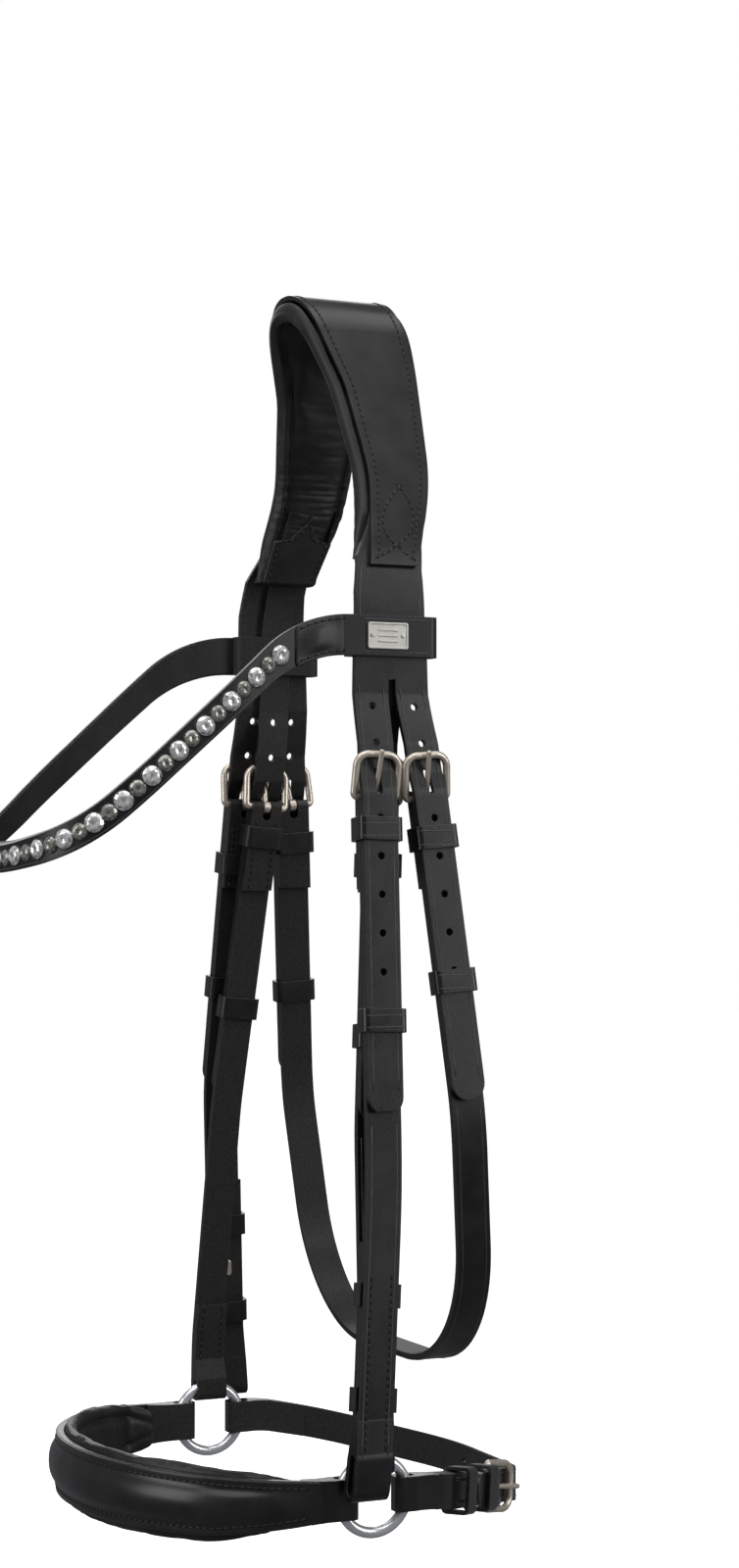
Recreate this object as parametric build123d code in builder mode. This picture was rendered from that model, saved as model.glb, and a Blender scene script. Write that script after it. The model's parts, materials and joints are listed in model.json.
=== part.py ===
"""Snaffle bridle: padded crown, crystal browband, padded noseband on rings.

Frame: millimetres, origin at the poll seat (inner top of the crown), +Z up, -Y towards the nose,
+X the horse's near (left) side. Heights are given as drops below the crown's outer top.
Straps are layered on a seat line, the front view of the crown and the cheeks: a layer's
level is its distance outwards from that line.
"""

import math
import os

from build123d import *

# ---- driving dimensions -------------------------------------------------------------------
CROWN_TOP = 12.6            # height of the crown's outer top over the poll seat
PADDING = 5.0               # thickness of the crown cushion
BILLET = 2.6                # leather of the punched strap ends
LEATHER = 2.8               # leather of the buckle straps
GAP = 0.2                   # between two layers of leather
RING_X = 93.5               # noseband ring centre, off the middle plane
RING_Y = -24.0
RING_DROP = 520.0
RING_R = 15.4               # middle of the ring's wire
WIRE_R = 2.4
RUN_CLEARANCE = 0.3         # between a ring and the leather looped round it
EYE_LEATHER = 1.6           # leather skived where it loops a ring

# seat line, near half: distance from the middle plane, drop, bend radius
SEAT = [(0, 7.6, 0), (15, 7.6, 20), (35, 60, 400), (62, 132, 80), (62, 193, 250),
        (99.2, 490, 250), (99.2, 560, 0)]

# side lines of the straps: y, drop, bend radius
CHEEK_LINE = [(-12, 120, 0), (-13.2, 195, 600), (-20.3, 390, 600), (-34, 524, 0)]
FAR_CHEEK_LINE = [(-12, 120, 0), (-13.2, 195, 600), (-19.28, 362, 180), (-7.5, 524, 0)]
THROAT_LINE = [(4.5, 120, 0), (6.5, 185, 200), (21.5, 370, 120), (33, 490, 0)]
HANGER_LINE = [(6, -10, 0), (6, 85, 200), (-3, 145, 200), (-4, 185, 300), (-20, 370, 300),
               (-24, 480, 300), (-24, 530, 0)]
CHEEK_WIDTH = 16.0
THROAT_LEAVES = 366.0       # drop where the throatlatch leaves the cheek's slope
THROAT_HALF = 80.0          # half width of its U, and the drop of the U's outer bottom
THROAT_LOW = 476.0
THROAT_WIDTH = 15.5
HANGER_WIDTH = 14.5

# buckles: the fold's bar, then sizes in the strap's own plane
BAR_DROP = 229.0
BAR_DEPTH = 3.1             # its level below the billet's underside
BACK_DEPTH = 6.0            # level of the turned-back layer's inner face, below the billet
BAR_R = 1.6
BAR_BORE = 1.65
BUCKLE_REACH = 18.0         # from the bar to the top bar
BUCKLE_HALF = 9.9           # middle of a side rail from the strap's middle
BUCKLE_RISE = 4.9           # how far the top bar stands out over the bar
TONGUE_R = 1.15
HOLE_PITCH = 16.5
HOLE_R = 1.6
SLOT_WIDE = 2.9             # the hole in use, drawn out to a slot by its tongue
CHEEK_LEVEL = 10.7          # underside of the cheek and throat billets, below the buckles
HANGER_LEVEL = -0.2         # the same for the noseband billets
TIPS = {"cheek": 362.0, "throat": 357.0, "hanger": 366.0}
TURN_BACK_END = 268.0

# keepers: drop of each, and its length along the strap
KEEPER_LENGTH = 10.0
KEEPER_WALL = 1.6
KEEPER_PLAY = 0.5           # at each edge of the strap
KEEPER_FACE_PLAY = 0.3      # at its faces
SEWN_KEEPER_WALL = 1.4      # the two keepers that hold a cheekpiece's tail
SEWN_KEEPER_TOP = -1.4      # level where their ends are sewn in
FIXED_KEEPER_DROP = {"near_cheek": 243.0, "far_cheek": 257.0, "near_throat": 246.5,
                     "far_throat": 246.5, "near_hanger": 257.0, "far_hanger": 243.0}
RUNNER_DROP = {"near_cheek": 324.0, "far_cheek": 316.0, "near_throat": 308.0,
               "far_throat": 318.0, "near_hanger": 330.0, "far_hanger": 324.0}

# bit loop at the cheekpiece's lower end
BIT_LOOP_BOTTOM = {"near": 519.0, "far": 512.0}
BIT_LOOP_HEIGHT = 22.0
BIT_LOOP_GAP = 5.0
TAIL_LENGTH = 104.0
STUD_UP = 61.0              # hook stud, over the loop's bottom
STUD_DEPTH = 2.0            # how deep its shank is set in the main layer
STUD_KEEPERS_UP = (82.0, 40.0)

# browband, plan view of the near half (x, y, bend) and side view (y, drop, bend)
BROW_LOOP_BOX = (61.4, 67.9, -21.2, 16.0)   # inside of a loop: x, x, y, y
BROW_PLAN = [(67.9, -10, 0), (67.9, -34, 60), (72, -78, 80), (70, -122, 60), (56, -149, 40), (24, -161, 60),
             (0, -161, 0)]
BROW_TOP = [(30, 149.3, 0), (-47, 149.3, 60), (-140, 235.2, 120), (-175, 255.7, 0)]
BROW_BOTTOM = [(30, 166.9, 0), (-47, 166.9, 60), (-140, 250.8, 120), (-175, 265.1, 0)]
BROW_SLOPE = 0.91           # fall of the sloping run for each unit forwards
BROW_LEATHER = 2.4
CRYSTAL_PITCH = 7.8
CRYSTAL_R = {"clear": 4.1, "smoke": 3.4}
STONE_START = 44.0          # plan length left plain behind the last stone
STONE_LIFT = 0.4            # the row over the band's middle line
BADGE = (-6.6, 158.1, 19.0, 11.4)           # y, drop, length, height

# noseband, plan view of the nosepiece's near half and of the chin, then their side views
NOSE_PLAN = [(93.5, -42, 0), (93.5, -76.3, 68), (38.7, -122, 104), (0, -122, 0)]
NOSE_LOOP_HALF = 8.5
NOSE_LEATHER = 2.8
NOSE_PADDING = 8.0
NOSE_PAD_START = -58.0
CHIN_PLAN = [(-96.6, -42, 0), (-96.6, 32, 50), (-40, 80, 50), (29, 79, 22), (96.6, 8, 26), (96.6, -42, 0)]
CHIN_SIDE = [(-60, 520, 0), (2, 520, 60), (100, 541, 0)]
CHIN_WIDTH = 14.5
CHIN_BAR = 60.0             # bar of the chin buckle, along the straight run from its near corner
CHIN_TIP = 34.0
CHIN_KEEPERS = {"chin_runner": 22.0, "chin_fixed_keeper": 49.0}
CHIN_KEEPER_MIDDLE = -1.7   # level of their middle
CHIN_KEEPER_HALF = 4.3      # half the stack they hold
CHIN_KEEPER_EASE = 1.2      # extra width, as the strap falls towards the rear
CHIN_HOLES = 5              # free holes in front of the one in use
STEP_BEND = 12.0            # where a layer steps over a fold
SPAN = 400.0                # longer than any piece, for cutting views
CHEEK_LINES = {"near": CHEEK_LINE, "far": FAR_CHEEK_LINE}


def height(drop):
    return CROWN_TOP - drop


# ---- lines and ribbons --------------------------------------------------------------------
def left_normal(start, end):
    run, rise = end[0] - start[0], end[1] - start[1]
    length = math.hypot(run, rise)
    return (-rise / length, run / length)


def turn_at(path, index):
    """Signed sine of the turn at a corner: positive to the left."""
    before = left_normal(path[index - 1], path[index])
    after = left_normal(path[index], path[index + 1])
    return before[0] * after[1] - before[1] * after[0]


def shifted(path, distance):
    """Corners of the line parallel to a path, a distance to its left, with matching bends."""
    moved = []
    for index, (u, v, bend) in enumerate(path):
        before = left_normal(*path[max(index - 1, 0):][:2])
        after = left_normal(*path[min(index, len(path) - 2):][:2])
        if index == 0:
            before = after
        scale = distance / (1 + before[0] * after[0] + before[1] * after[1])
        point = (u + scale * (before[0] + after[0]), v + scale * (before[1] + after[1]))
        if 0 < index < len(path) - 1:
            bend = bend - distance * math.copysign(1, turn_at(path, index))
        moved.append((*point, max(bend, 0)))
    return moved


def eased(path):
    """The path with its bends reduced where two of them share too short a run."""
    def heading(a, b):
        return math.atan2(b[1] - a[1], b[0] - a[0])

    tangents = [0]
    for before, corner, after in zip(path, path[1:], path[2:]):
        turn = abs(math.remainder(heading(corner, after) - heading(before, corner), math.tau))
        tangents.append(math.tan(turn / 2))
    tangents.append(0)
    shares = [1.0] * len(path)
    for k, (a, b) in enumerate(zip(path, path[1:])):
        needed = a[2] * tangents[k] + b[2] * tangents[k + 1]
        room = 0.97 * math.dist(a[:2], b[:2])
        if needed > room:
            shares[k] = min(shares[k], room / needed)
            shares[k + 1] = min(shares[k + 1], room / needed)
    return [(u, v, bend * share) for (u, v, bend), share in zip(path, shares)]


def draw(path):
    points = [(u, v) for u, v, bend in path]
    if len(points) == 2:
        Line(*points)
    else:
        FilletPolyline(*points, radius=[bend for u, v, bend in path[1:-1]])


def ribbon(plane, path, low, high):
    """Face between the two lines that lie low and high to the left of a path."""
    path = eased(path)
    lower, upper = shifted(path, low), shifted(path, high)
    with BuildSketch(plane) as band:
        with BuildLine():
            draw(lower)
            draw(upper)
            Line(lower[0][:2], upper[0][:2])
            Line(lower[-1][:2], upper[-1][:2])
        make_face()
    return band.sketch


def polygon(plane, points):
    with BuildSketch(plane) as area:
        with BuildLine():
            Polyline(*points, close=True)
        make_face()
    return area.sketch


def disc(plane, centre, radius):
    with BuildSketch(plane) as area:
        with Locations(centre):
            Circle(radius)
    return area.sketch


def to_height(line):
    return [(y, height(drop), bend) for y, drop, bend in line]


def trimmed(line, top, bottom):
    """The part of a side line between two drops."""
    def at(drop):
        for (y0, d0, _), (y1, d1, _) in zip(line, line[1:]):
            if d0 <= drop <= d1:
                return (y0 + (y1 - y0) * (drop - d0) / (d1 - d0), drop, 0)
    return [at(top)] + [p for p in line if top + 1 < p[1] < bottom - 1] + [at(bottom)]


def side_y(line, drop):
    return trimmed(line, drop, line[-1][1])[0][0]


def lean_at(line, drop):
    """Angle of a side line from the vertical, in degrees, positive when it drops rearwards."""
    return math.degrees(math.atan2(side_y(line, drop + 5) - side_y(line, drop - 5), 10))


# ---- the seat line ------------------------------------------------------------------------
def seat_corner(index, level):
    x, z, bend = shifted([(x, height(d), b) for x, d, b in SEAT], level)[index]
    return (x, z, bend)


def seat_point(drop, level):
    """Point at a drop on the seat line's slopes, a level outwards."""
    for (x0, d0, _), (x1, d1, _) in zip(SEAT[1:], SEAT[2:]):
        if d0 <= drop <= d1:
            x = x0 + (x1 - x0) * (drop - d0) / (d1 - d0)
            normal = left_normal((x0, -d0), (x1, -d1))
            return (x + level * normal[0], height(drop) + level * normal[1])


def seat_normal(drop):
    for (x0, d0, _), (x1, d1, _) in zip(SEAT[1:], SEAT[2:]):
        if d0 <= drop <= d1:
            return left_normal((x0, -d0), (x1, -d1))


def layer(profile, over_crown=False):
    """Front view of a layer's middle line, from (drop, level) pairs down the near side."""
    drops = [drop for drop, level in profile]

    def level_at(drop):
        for (d0, n0), (d1, n1) in zip(profile, profile[1:]):
            if drop <= d1:
                return n0 + (n1 - n0) * max(drop - d0, 0) / (d1 - d0)

    path = []
    if over_crown:
        path = [(0, seat_corner(0, profile[0][1])[1], 0), seat_corner(1, profile[0][1])]
    steps = profile[1:] if over_crown else profile
    stations = [(drop, seat_point(drop, level) + (STEP_BEND,)) for drop, level in steps]
    first = 0 if over_crown else drops[0]
    for index in range(2, len(SEAT) - 1):
        drop = SEAT[index][1]
        if first < drop < drops[-1]:
            stations.append((drop, seat_corner(index, level_at(drop))))
    path += [corner for drop, corner in sorted(stations)]
    return path


# ---- frames on the straps -----------------------------------------------------------------
def strap_plane(line, drop, level):
    """Plane on a side strap: x across it, y up along it, z outwards."""
    x, z = seat_point(drop, level)
    nx, nz = seat_normal(drop)
    lean = math.radians(lean_at(line, drop))
    across = Vector(0, math.cos(lean), 0) + Vector(-nz, 0, nx) * math.sin(lean)
    return Plane(origin=(x, side_y(line, drop), z), x_dir=across, z_dir=(nx, 0, nz))


def chin_run():
    """Near corner of the chin's straight run, its direction towards the rear, and its fall."""
    (x1, y1, _), (x0, y0, _) = CHIN_PLAN[3], CHIN_PLAN[4]
    length = math.hypot(x1 - x0, y1 - y0)
    fall = (CHIN_SIDE[2][1] - CHIN_SIDE[1][1]) / (CHIN_SIDE[2][0] - CHIN_SIDE[1][0])
    return (x0, y0), ((x1 - x0) / length, (y1 - y0) / length), fall


def chin_point(distance, level):
    (x, y), (dx, dy), _ = chin_run()
    return (x + dx * distance + dy * level, y + dy * distance - dx * level)


def chin_plane(distance, level):
    """Plane on the chin's straight run: x across it, y along it to the rear, z outwards."""
    (_, y), (dx, dy), fall = chin_run()
    along = Vector(dx, dy, -fall * dy).normalized()
    outwards = Vector(dy, -dx, 0)
    origin = (*chin_point(distance, level), height(side_drop(CHIN_SIDE, y + dy * distance)))
    return Plane(origin=origin, x_dir=along.cross(outwards), z_dir=outwards)


def side_drop(line, y):
    for (y0, d0, _), (y1, d1, _) in zip(line, line[1:]):
        if min(y0, y1) <= y <= max(y0, y1):
            return d0 + (d1 - d0) * (y - y0) / (y1 - y0)


# ---- saving -------------------------------------------------------------------------------
def save(piece, name):
    piece.label = name
    export_step(piece, f"parts/{name}.step")


def save_side(piece, side, name):
    """A piece modelled on the near side, mirrored if it belongs to the far side."""
    if side == "near":
        save(piece, f"near_{name}")
    else:
        with BuildPart() as far:
            mirror(piece, about=Plane.YZ)
        save(far.part, f"far_{name}")


def save_pair(piece, name):
    for side in ("near", "far"):
        save_side(piece, side, name)


def whole(half):
    """Both halves of a piece that crosses the middle plane, as one solid."""
    with BuildPart() as both:
        add(half)
        mirror(half, about=Plane.YZ)
    return both.part


def side_cut(faces):
    """Keep what lies within a side view."""
    with BuildPart(mode=Mode.PRIVATE) as view:
        for face in faces:
            extrude(face, amount=SPAN / 2, both=True)
    return view.part


# ---- crown --------------------------------------------------------------------------------
def billet_outline(line, width, top, tip):
    """Side view of a punched strap end with a round tip."""
    end = tip - width / 2
    band = ribbon(Plane.YZ, to_height(trimmed(line, top, end)), -width / 2, width / 2)
    return [band, disc(Plane.YZ, (side_y(line, end), height(end)), width / 2)]


def punch(line, level):
    """The row of adjustment holes of a strap, with the slot that the tongue stands in."""
    plane = strap_plane(line, BAR_DROP - 7, level)
    rows = [k * HOLE_PITCH for k in (-5, -4, -3, -2, -1, 1, 2)]
    with BuildPart(mode=Mode.PRIVATE) as holes:
        with BuildSketch(plane):
            with Locations(*[(0, row) for row in rows]):
                Circle(HOLE_R)
            with Locations((0, -0.5)):
                SlotOverall(11.5, SLOT_WIDE, rotation=90)
        extrude(amount=9, both=True)
    return holes.part


def headpiece():
    above, below = CHEEK_LEVEL - 1.5, CHEEK_LEVEL + BILLET / 2
    profile = [(0, 4.1), (183, 4.1), (206, above), (217, above), (227, below), (362, below)]
    crown = [(-5.5, 0), (-3.5, 88), (-11, 110), (-18, 124), (-20.2, 140), (-20.4, 172), (-4.6, 178),
             (-3.4, 178), (13, 172), (12, 130), (16.5, 95), (16, 0)]
    faces = [polygon(Plane.YZ, [(y, height(drop - 1)) for y, drop in crown])]
    faces += billet_outline(CHEEK_LINE, CHEEK_WIDTH, 165, TIPS["cheek"])
    faces += billet_outline(THROAT_LINE, THROAT_WIDTH, 165, TIPS["throat"])
    path = layer(profile, over_crown=True)
    with BuildPart() as half:
        extrude(ribbon(Plane.XZ, path, -BILLET / 2, BILLET / 2), SPAN / 2, both=True)
        add(side_cut(faces), mode=Mode.INTERSECT)
        add(punch(CHEEK_LINE, CHEEK_LEVEL), mode=Mode.SUBTRACT)
        add(punch(THROAT_LINE, CHEEK_LEVEL), mode=Mode.SUBTRACT)
    return whole(half.part)


def noseband_headstrap():
    above, below = HANGER_LEVEL - 1.5, HANGER_LEVEL + BILLET / 2
    profile = [(0, 1.3), (185, 1.3), (205, above), (217, above), (227, below), (366, below)]
    path = layer(profile, over_crown=True)
    with BuildPart() as half:
        extrude(ribbon(Plane.XZ, path, -BILLET / 2, BILLET / 2), SPAN / 2, both=True)
        add(side_cut(billet_outline(HANGER_LINE, HANGER_WIDTH, -9, TIPS["hanger"])), mode=Mode.INTERSECT)
        add(punch(HANGER_LINE, HANGER_LEVEL), mode=Mode.SUBTRACT)
    return whole(half.part)


def crown_layer(low, high, front, rear):
    """A shaped layer over the poll, between a front and a rear edge seen from the side."""
    with BuildSketch(Plane.YZ) as outline:
        with BuildLine():
            draw(to_height(front))
            draw(to_height(rear))
            Line((front[0][0], height(front[0][1])), (rear[0][0], height(rear[0][1])))
            Line((front[-1][0], height(front[-1][1])), (rear[-1][0], height(rear[-1][1])))
        make_face()
    middle = (low + high) / 2
    path = layer([(0, middle), (170, middle)], over_crown=True)
    with BuildPart() as half:
        extrude(ribbon(Plane.XZ, path, low - middle, high - middle), SPAN / 2, both=True)
        add(side_cut([outline.sketch]), mode=Mode.INTERSECT)
    return whole(half.part)


def crown_cover():
    front = [(-28, -8, 0), (-11.5, 44, 40), (-6.5, 86, 70), (-13, 127, 0)]
    rear = [(18.5, -8, 0), (24, 34, 60), (21.5, 88, 100), (9.5, 127, 0)]
    return crown_layer(5.6, 7.6, front, rear)


def crown_padding():
    front = [(-33, -8, 0), (-16, 44, 40), (-10.5, 86, 80), (-17, 126, 0)]
    rear = [(22.5, -8, 0), (27.5, 34, 60), (25, 88, 100), (13.5, 126, 0)]
    return crown_layer(-PADDING, -GAP, front, rear)


# ---- buckle straps on the cheeks ----------------------------------------------------------
def fold_faces(level, end):
    """Front view of a strap's buckle end: the turned-back layer and the round fold, less its bore."""
    bar = seat_point(BAR_DROP, level - BAR_DEPTH)
    back = layer([(BAR_DROP, level - 4.6), (end, level - 4.6)])
    return [ribbon(Plane.XZ, back, -LEATHER / 2, LEATHER / 2), disc(Plane.XZ, bar, 2.9)]


def bar_cuts(line, level):
    """The bore for the bar, and the slot in the fold for the tongue."""
    plane = strap_plane(line, BAR_DROP, level - BAR_DEPTH)
    with BuildPart(mode=Mode.PRIVATE) as cuts:
        with BuildSketch(Plane(origin=plane.origin, x_dir=plane.y_dir, z_dir=plane.x_dir)):
            Circle(BAR_BORE)
        extrude(amount=THROAT_WIDTH, both=True)
        with BuildSketch(plane):
            with Locations((0, 0.5)):
                SlotOverall(13, 4.2, rotation=90)
        extrude(amount=5, both=True)
    return cuts.part


def strap_body(line, width, level, faces, bottom):
    """A buckle strap: its front view's faces, cut to its side view, with the bar's cuts."""
    outline = ribbon(Plane.YZ, to_height(trimmed(line, BAR_DROP - 6, bottom)), -width / 2, width / 2)
    with BuildPart() as strap:
        for face in faces:
            extrude(face, SPAN / 2, both=True)
        add(side_cut([outline]), mode=Mode.INTERSECT)
        add(bar_cuts(line, level), mode=Mode.SUBTRACT)
    return strap.part


def eye_faces(level_low, level_high, top, bottom):
    """Front view of a loop at a strap's lower end, with the shoulders that close it above."""
    (x0, z0), (x1, z1) = seat_point(top, level_low), seat_point(top, level_high)
    with BuildSketch(Plane.XZ) as eye:
        with Locations(((x0 + x1) / 2, (height(top) + height(bottom)) / 2)):
            RectangleRounded(x1 - x0, bottom - top, (x1 - x0) / 2 - 0.4)
    return eye.sketch


def cheekpiece(side):
    bottom = BIT_LOOP_BOTTOM[side]
    line = CHEEK_LINES[side]
    level = CHEEK_LEVEL
    main = layer([(BAR_DROP, level - 1.6), (bottom - 12, level - 1.6)])
    tail = layer([(bottom - TAIL_LENGTH, level - 4.6), (bottom - 12, level - 4.6)])
    wall = LEATHER - 0.2
    inner, outer = level - 3.1 - BIT_LOOP_GAP / 2, level - 3.1 + BIT_LOOP_GAP / 2
    top = bottom - BIT_LOOP_HEIGHT
    shoulder = [seat_point(top - 10, level - 6.0), seat_point(top - 10, level - GAP),
                seat_point(top + 7, outer + wall), seat_point(top + 7, inner - wall)]
    faces = [ribbon(Plane.XZ, path, -LEATHER / 2, LEATHER / 2) for path in (main, tail)]
    faces += fold_faces(level, TURN_BACK_END)
    faces += [polygon(Plane.XZ, shoulder), eye_faces(inner - wall, outer + wall, top, bottom)]
    strap = strap_body(line, CHEEK_WIDTH, level, faces, bottom + 2)
    x0, x1 = seat_point(top, inner)[0], seat_point(top, outer)[0]
    with BuildPart() as piece:
        add(strap)
        with BuildSketch(Plane.XZ):
            with Locations(((x0 + x1) / 2, height(top + bottom) / 2 + CROWN_TOP / 2)):
                RectangleRounded(x1 - x0, bottom - top - 2 * wall, (x1 - x0) / 2 - 0.2)
        extrude(amount=SPAN / 2, both=True, mode=Mode.SUBTRACT)
        with BuildSketch(strap_plane(line, bottom - STUD_UP, level - 4.6)):
            SlotOverall(9, 3.4, rotation=90)
        extrude(amount=2.2, both=True, mode=Mode.SUBTRACT)
        with BuildSketch(strap_plane(line, bottom - STUD_UP - 3, level - 3.4)):
            Circle(1.25)
        extrude(amount=STUD_DEPTH + 0.6, mode=Mode.SUBTRACT)
    return piece.part


def hanger():
    """Noseband hanger: buckle end above, loop round the ring's top below."""
    level = HANGER_LEVEL
    gap = WIRE_R + RUN_CLEARANCE
    wire = RING_DROP - RING_R
    top = wire - gap
    bottom = RING_DROP - math.sqrt((RING_R - WIRE_R) ** 2 - (HANGER_WIDTH / 2) ** 2) + RUN_CLEARANCE
    outer_x = RING_X + gap + LEATHER
    inner_x = RING_X - gap - EYE_LEATHER
    main = layer([(BAR_DROP, level - 1.6), (wire, level - 1.6)])
    tail = layer([(465, level - 4.6), (top - 8, level - 4.6)])
    end_inner = seat_point(top - 10, level - 6.0)
    shoulder = [end_inner, seat_point(top - 10, level - 1), (outer_x - LEATHER, height(top + 3)),
                (inner_x, height(top + 3)), (inner_x, height(top - 1))]
    faces = [ribbon(Plane.XZ, path, -LEATHER / 2, LEATHER / 2) for path in (main, tail)]
    faces += fold_faces(level, TURN_BACK_END)
    with BuildSketch(Plane.XZ) as eye:
        with BuildLine():
            FilletPolyline((inner_x, height(top)), (inner_x, height(bottom + EYE_LEATHER)),
                           (outer_x, height(bottom + EYE_LEATHER)), (outer_x, height(top)), radius=3.4)
            Line((outer_x, height(top)), (inner_x, height(top)))
        make_face()
    faces += [polygon(Plane.XZ, shoulder), eye.sketch]
    strap = strap_body(HANGER_LINE, HANGER_WIDTH, level, faces, bottom + 4)
    with BuildPart() as piece:
        add(strap)
        with BuildSketch(Plane.XZ):
            with Locations((RING_X, height((top + bottom) / 2))):
                RectangleRounded(2 * gap, bottom - top, gap - 0.1)
        extrude(amount=SPAN / 2, both=True, mode=Mode.SUBTRACT)
    return piece.part


def throatlatch():
    level = CHEEK_LEVEL
    start = seat_point(BAR_DROP, level - 1.6)
    leave = seat_point(THROAT_LEAVES, level - 1.6)
    path = [(*start, 0), (*leave, 120), (THROAT_HALF, height(THROAT_LOW), THROAT_HALF - 16),
            (0, height(THROAT_LOW), 0)]
    outline = ribbon(Plane.YZ, to_height(trimmed(THROAT_LINE, BAR_DROP - 6, 488)),
                     -THROAT_WIDTH / 2, THROAT_WIDTH / 2)
    with BuildPart() as half:
        extrude(ribbon(Plane.XZ, path, -LEATHER / 2, LEATHER / 2), SPAN / 2, both=True)
        for face in fold_faces(level, TURN_BACK_END):
            extrude(face, SPAN / 2, both=True)
        add(side_cut([outline]), mode=Mode.INTERSECT)
        add(bar_cuts(THROAT_LINE, level), mode=Mode.SUBTRACT)
    return whole(half.part)


# ---- buckles ------------------------------------------------------------------------------
def tilted(plane, degrees):
    """The plane turned about its x axis, so that its y axis rises outwards."""
    angle = math.radians(degrees)
    normal = plane.z_dir * math.cos(angle) - plane.y_dir * math.sin(angle)
    return Plane(origin=plane.origin, x_dir=plane.x_dir, z_dir=normal)


def buckle_frame(bar_plane):
    """Closed round-wire frame: bar in the fold, side rails rising to the top bar."""
    rise = math.degrees(math.atan2(BUCKLE_RISE, BUCKLE_REACH))
    plane = tilted(bar_plane, rise)
    reach = math.hypot(BUCKLE_RISE, BUCKLE_REACH)
    half = BUCKLE_HALF
    with BuildPart() as frame:
        with BuildLine(plane) as wire:
            FilletPolyline((-half, 0), (half, 0), (half, reach), (-half, reach),
                           radius=[1.75, 1.75, 5.5, 5.5], close=True)
        with BuildSketch(Plane(origin=wire.line @ 0, z_dir=wire.line % 0)):
            Circle(BAR_R)
        sweep()
    return frame.part


def buckle_tongue(bar_plane):
    """Tongue: an eye round the bar and a finger resting on the top bar."""
    lift = math.degrees(math.atan2(BUCKLE_RISE + BAR_R + TONGUE_R + 0.35, BUCKLE_REACH))
    reach = math.hypot(BUCKLE_RISE + BAR_R + TONGUE_R, BUCKLE_REACH) + 1.8
    plane = tilted(bar_plane, lift)
    side = Plane(origin=plane.origin, x_dir=plane.y_dir, z_dir=plane.x_dir)
    with BuildPart() as tongue:
        with BuildSketch(side):
            Circle(BAR_BORE + 1.2)
            Circle(BAR_BORE, mode=Mode.SUBTRACT)
        extrude(amount=1.5, both=True)
        with BuildSketch(Plane(origin=plane.origin + plane.y_dir * (BAR_BORE + 0.5),
                               x_dir=plane.x_dir, z_dir=plane.y_dir)):
            Circle(TONGUE_R)
        extrude(amount=reach - BAR_BORE - 0.5)
        fillet(tongue.faces().sort_by(Axis(plane.origin, plane.y_dir))[-1].edges(), 0.9)
    return tongue.part


# ---- keepers and studs --------------------------------------------------------------------
def keeper(centre_plane, width, low, high):
    """Leather band round a strap. The plane is the strap's, its levels are low and high."""
    inner_w = width + 2 * KEEPER_PLAY
    inner_h = high - low + 2 * KEEPER_FACE_PLAY
    middle = (low + high) / 2
    across = Plane(origin=centre_plane.origin + centre_plane.z_dir * middle,
                   x_dir=centre_plane.x_dir, z_dir=centre_plane.y_dir)
    with BuildPart() as band:
        with BuildSketch(across):
            RectangleRounded(inner_w + 2 * KEEPER_WALL, inner_h + 2 * KEEPER_WALL, 2.4)
            RectangleRounded(inner_w, inner_h, 0.8, mode=Mode.SUBTRACT)
        extrude(amount=KEEPER_LENGTH / 2, both=True)
    return band.part


def strap_keeper(line, width, drop, level, low, high):
    return keeper(strap_plane(line, drop, level), width, low, high)


def hook_stud(side):
    """Hook stud: a shank set in the main layer, blind, and a hook through the tail's slot."""
    drop = BIT_LOOP_BOTTOM[side] - STUD_UP - 3
    plane = strap_plane(CHEEK_LINES[side], drop, CHEEK_LEVEL - 3.0)
    with BuildPart() as stud:
        with BuildSketch(plane):
            Circle(1.2)
        extrude(amount=STUD_DEPTH)
        with BuildSketch(plane):
            Circle(1.2)
        extrude(amount=-4.0)
        with BuildSketch(Plane(origin=plane.origin - plane.z_dir * 4.0 + plane.y_dir * -2.2,
                               x_dir=plane.x_dir, z_dir=plane.z_dir)):
            SlotOverall(7.6, 3.0, rotation=90)
        extrude(amount=-1.5)
        fillet(stud.faces().sort_by(Axis(plane.origin, plane.z_dir))[0].edges(), 0.5)
    return stud.part


def stud_keeper(side, up):
    """Leather band round the tail only: its ends are sewn in between the two layers."""
    plane = strap_plane(CHEEK_LINES[side], BIT_LOOP_BOTTOM[side] - up, CHEEK_LEVEL)
    half = CHEEK_WIDTH / 2 + KEEPER_PLAY
    back, wall = -BACK_DEPTH - KEEPER_FACE_PLAY, SEWN_KEEPER_WALL
    across = Plane(origin=plane.origin, x_dir=plane.x_dir, z_dir=plane.y_dir * -1)
    with BuildPart() as band:
        with BuildSketch(across):
            with BuildLine():
                FilletPolyline((-half, SEWN_KEEPER_TOP), (-half, back),
                               (half, back), (half, SEWN_KEEPER_TOP), radius=0.8)
                FilletPolyline((half + wall, SEWN_KEEPER_TOP), (half + wall, back - wall),
                               (-half - wall, back - wall), (-half - wall, SEWN_KEEPER_TOP), radius=2.2)
                Line((-half, SEWN_KEEPER_TOP), (-half - wall, SEWN_KEEPER_TOP))
                Line((half, SEWN_KEEPER_TOP), (half + wall, SEWN_KEEPER_TOP))
            make_face()
        extrude(amount=KEEPER_LENGTH / 2, both=True)
    return band.part


# ---- browband -----------------------------------------------------------------------------
def brow_view(inset=0.0):
    """Side view of the browband: tall at the loops, narrower along the front."""
    top = [(y, height(drop + inset), bend) for y, drop, bend in BROW_TOP]
    bottom = [(y, height(drop - inset), bend) for y, drop, bend in BROW_BOTTOM]
    with BuildSketch(Plane.YZ) as view:
        with BuildLine():
            draw(top)
            draw(bottom)
            Line(top[0][:2], bottom[0][:2])
            Line(top[-1][:2], bottom[-1][:2])
        make_face()
    return view.sketch


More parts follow.
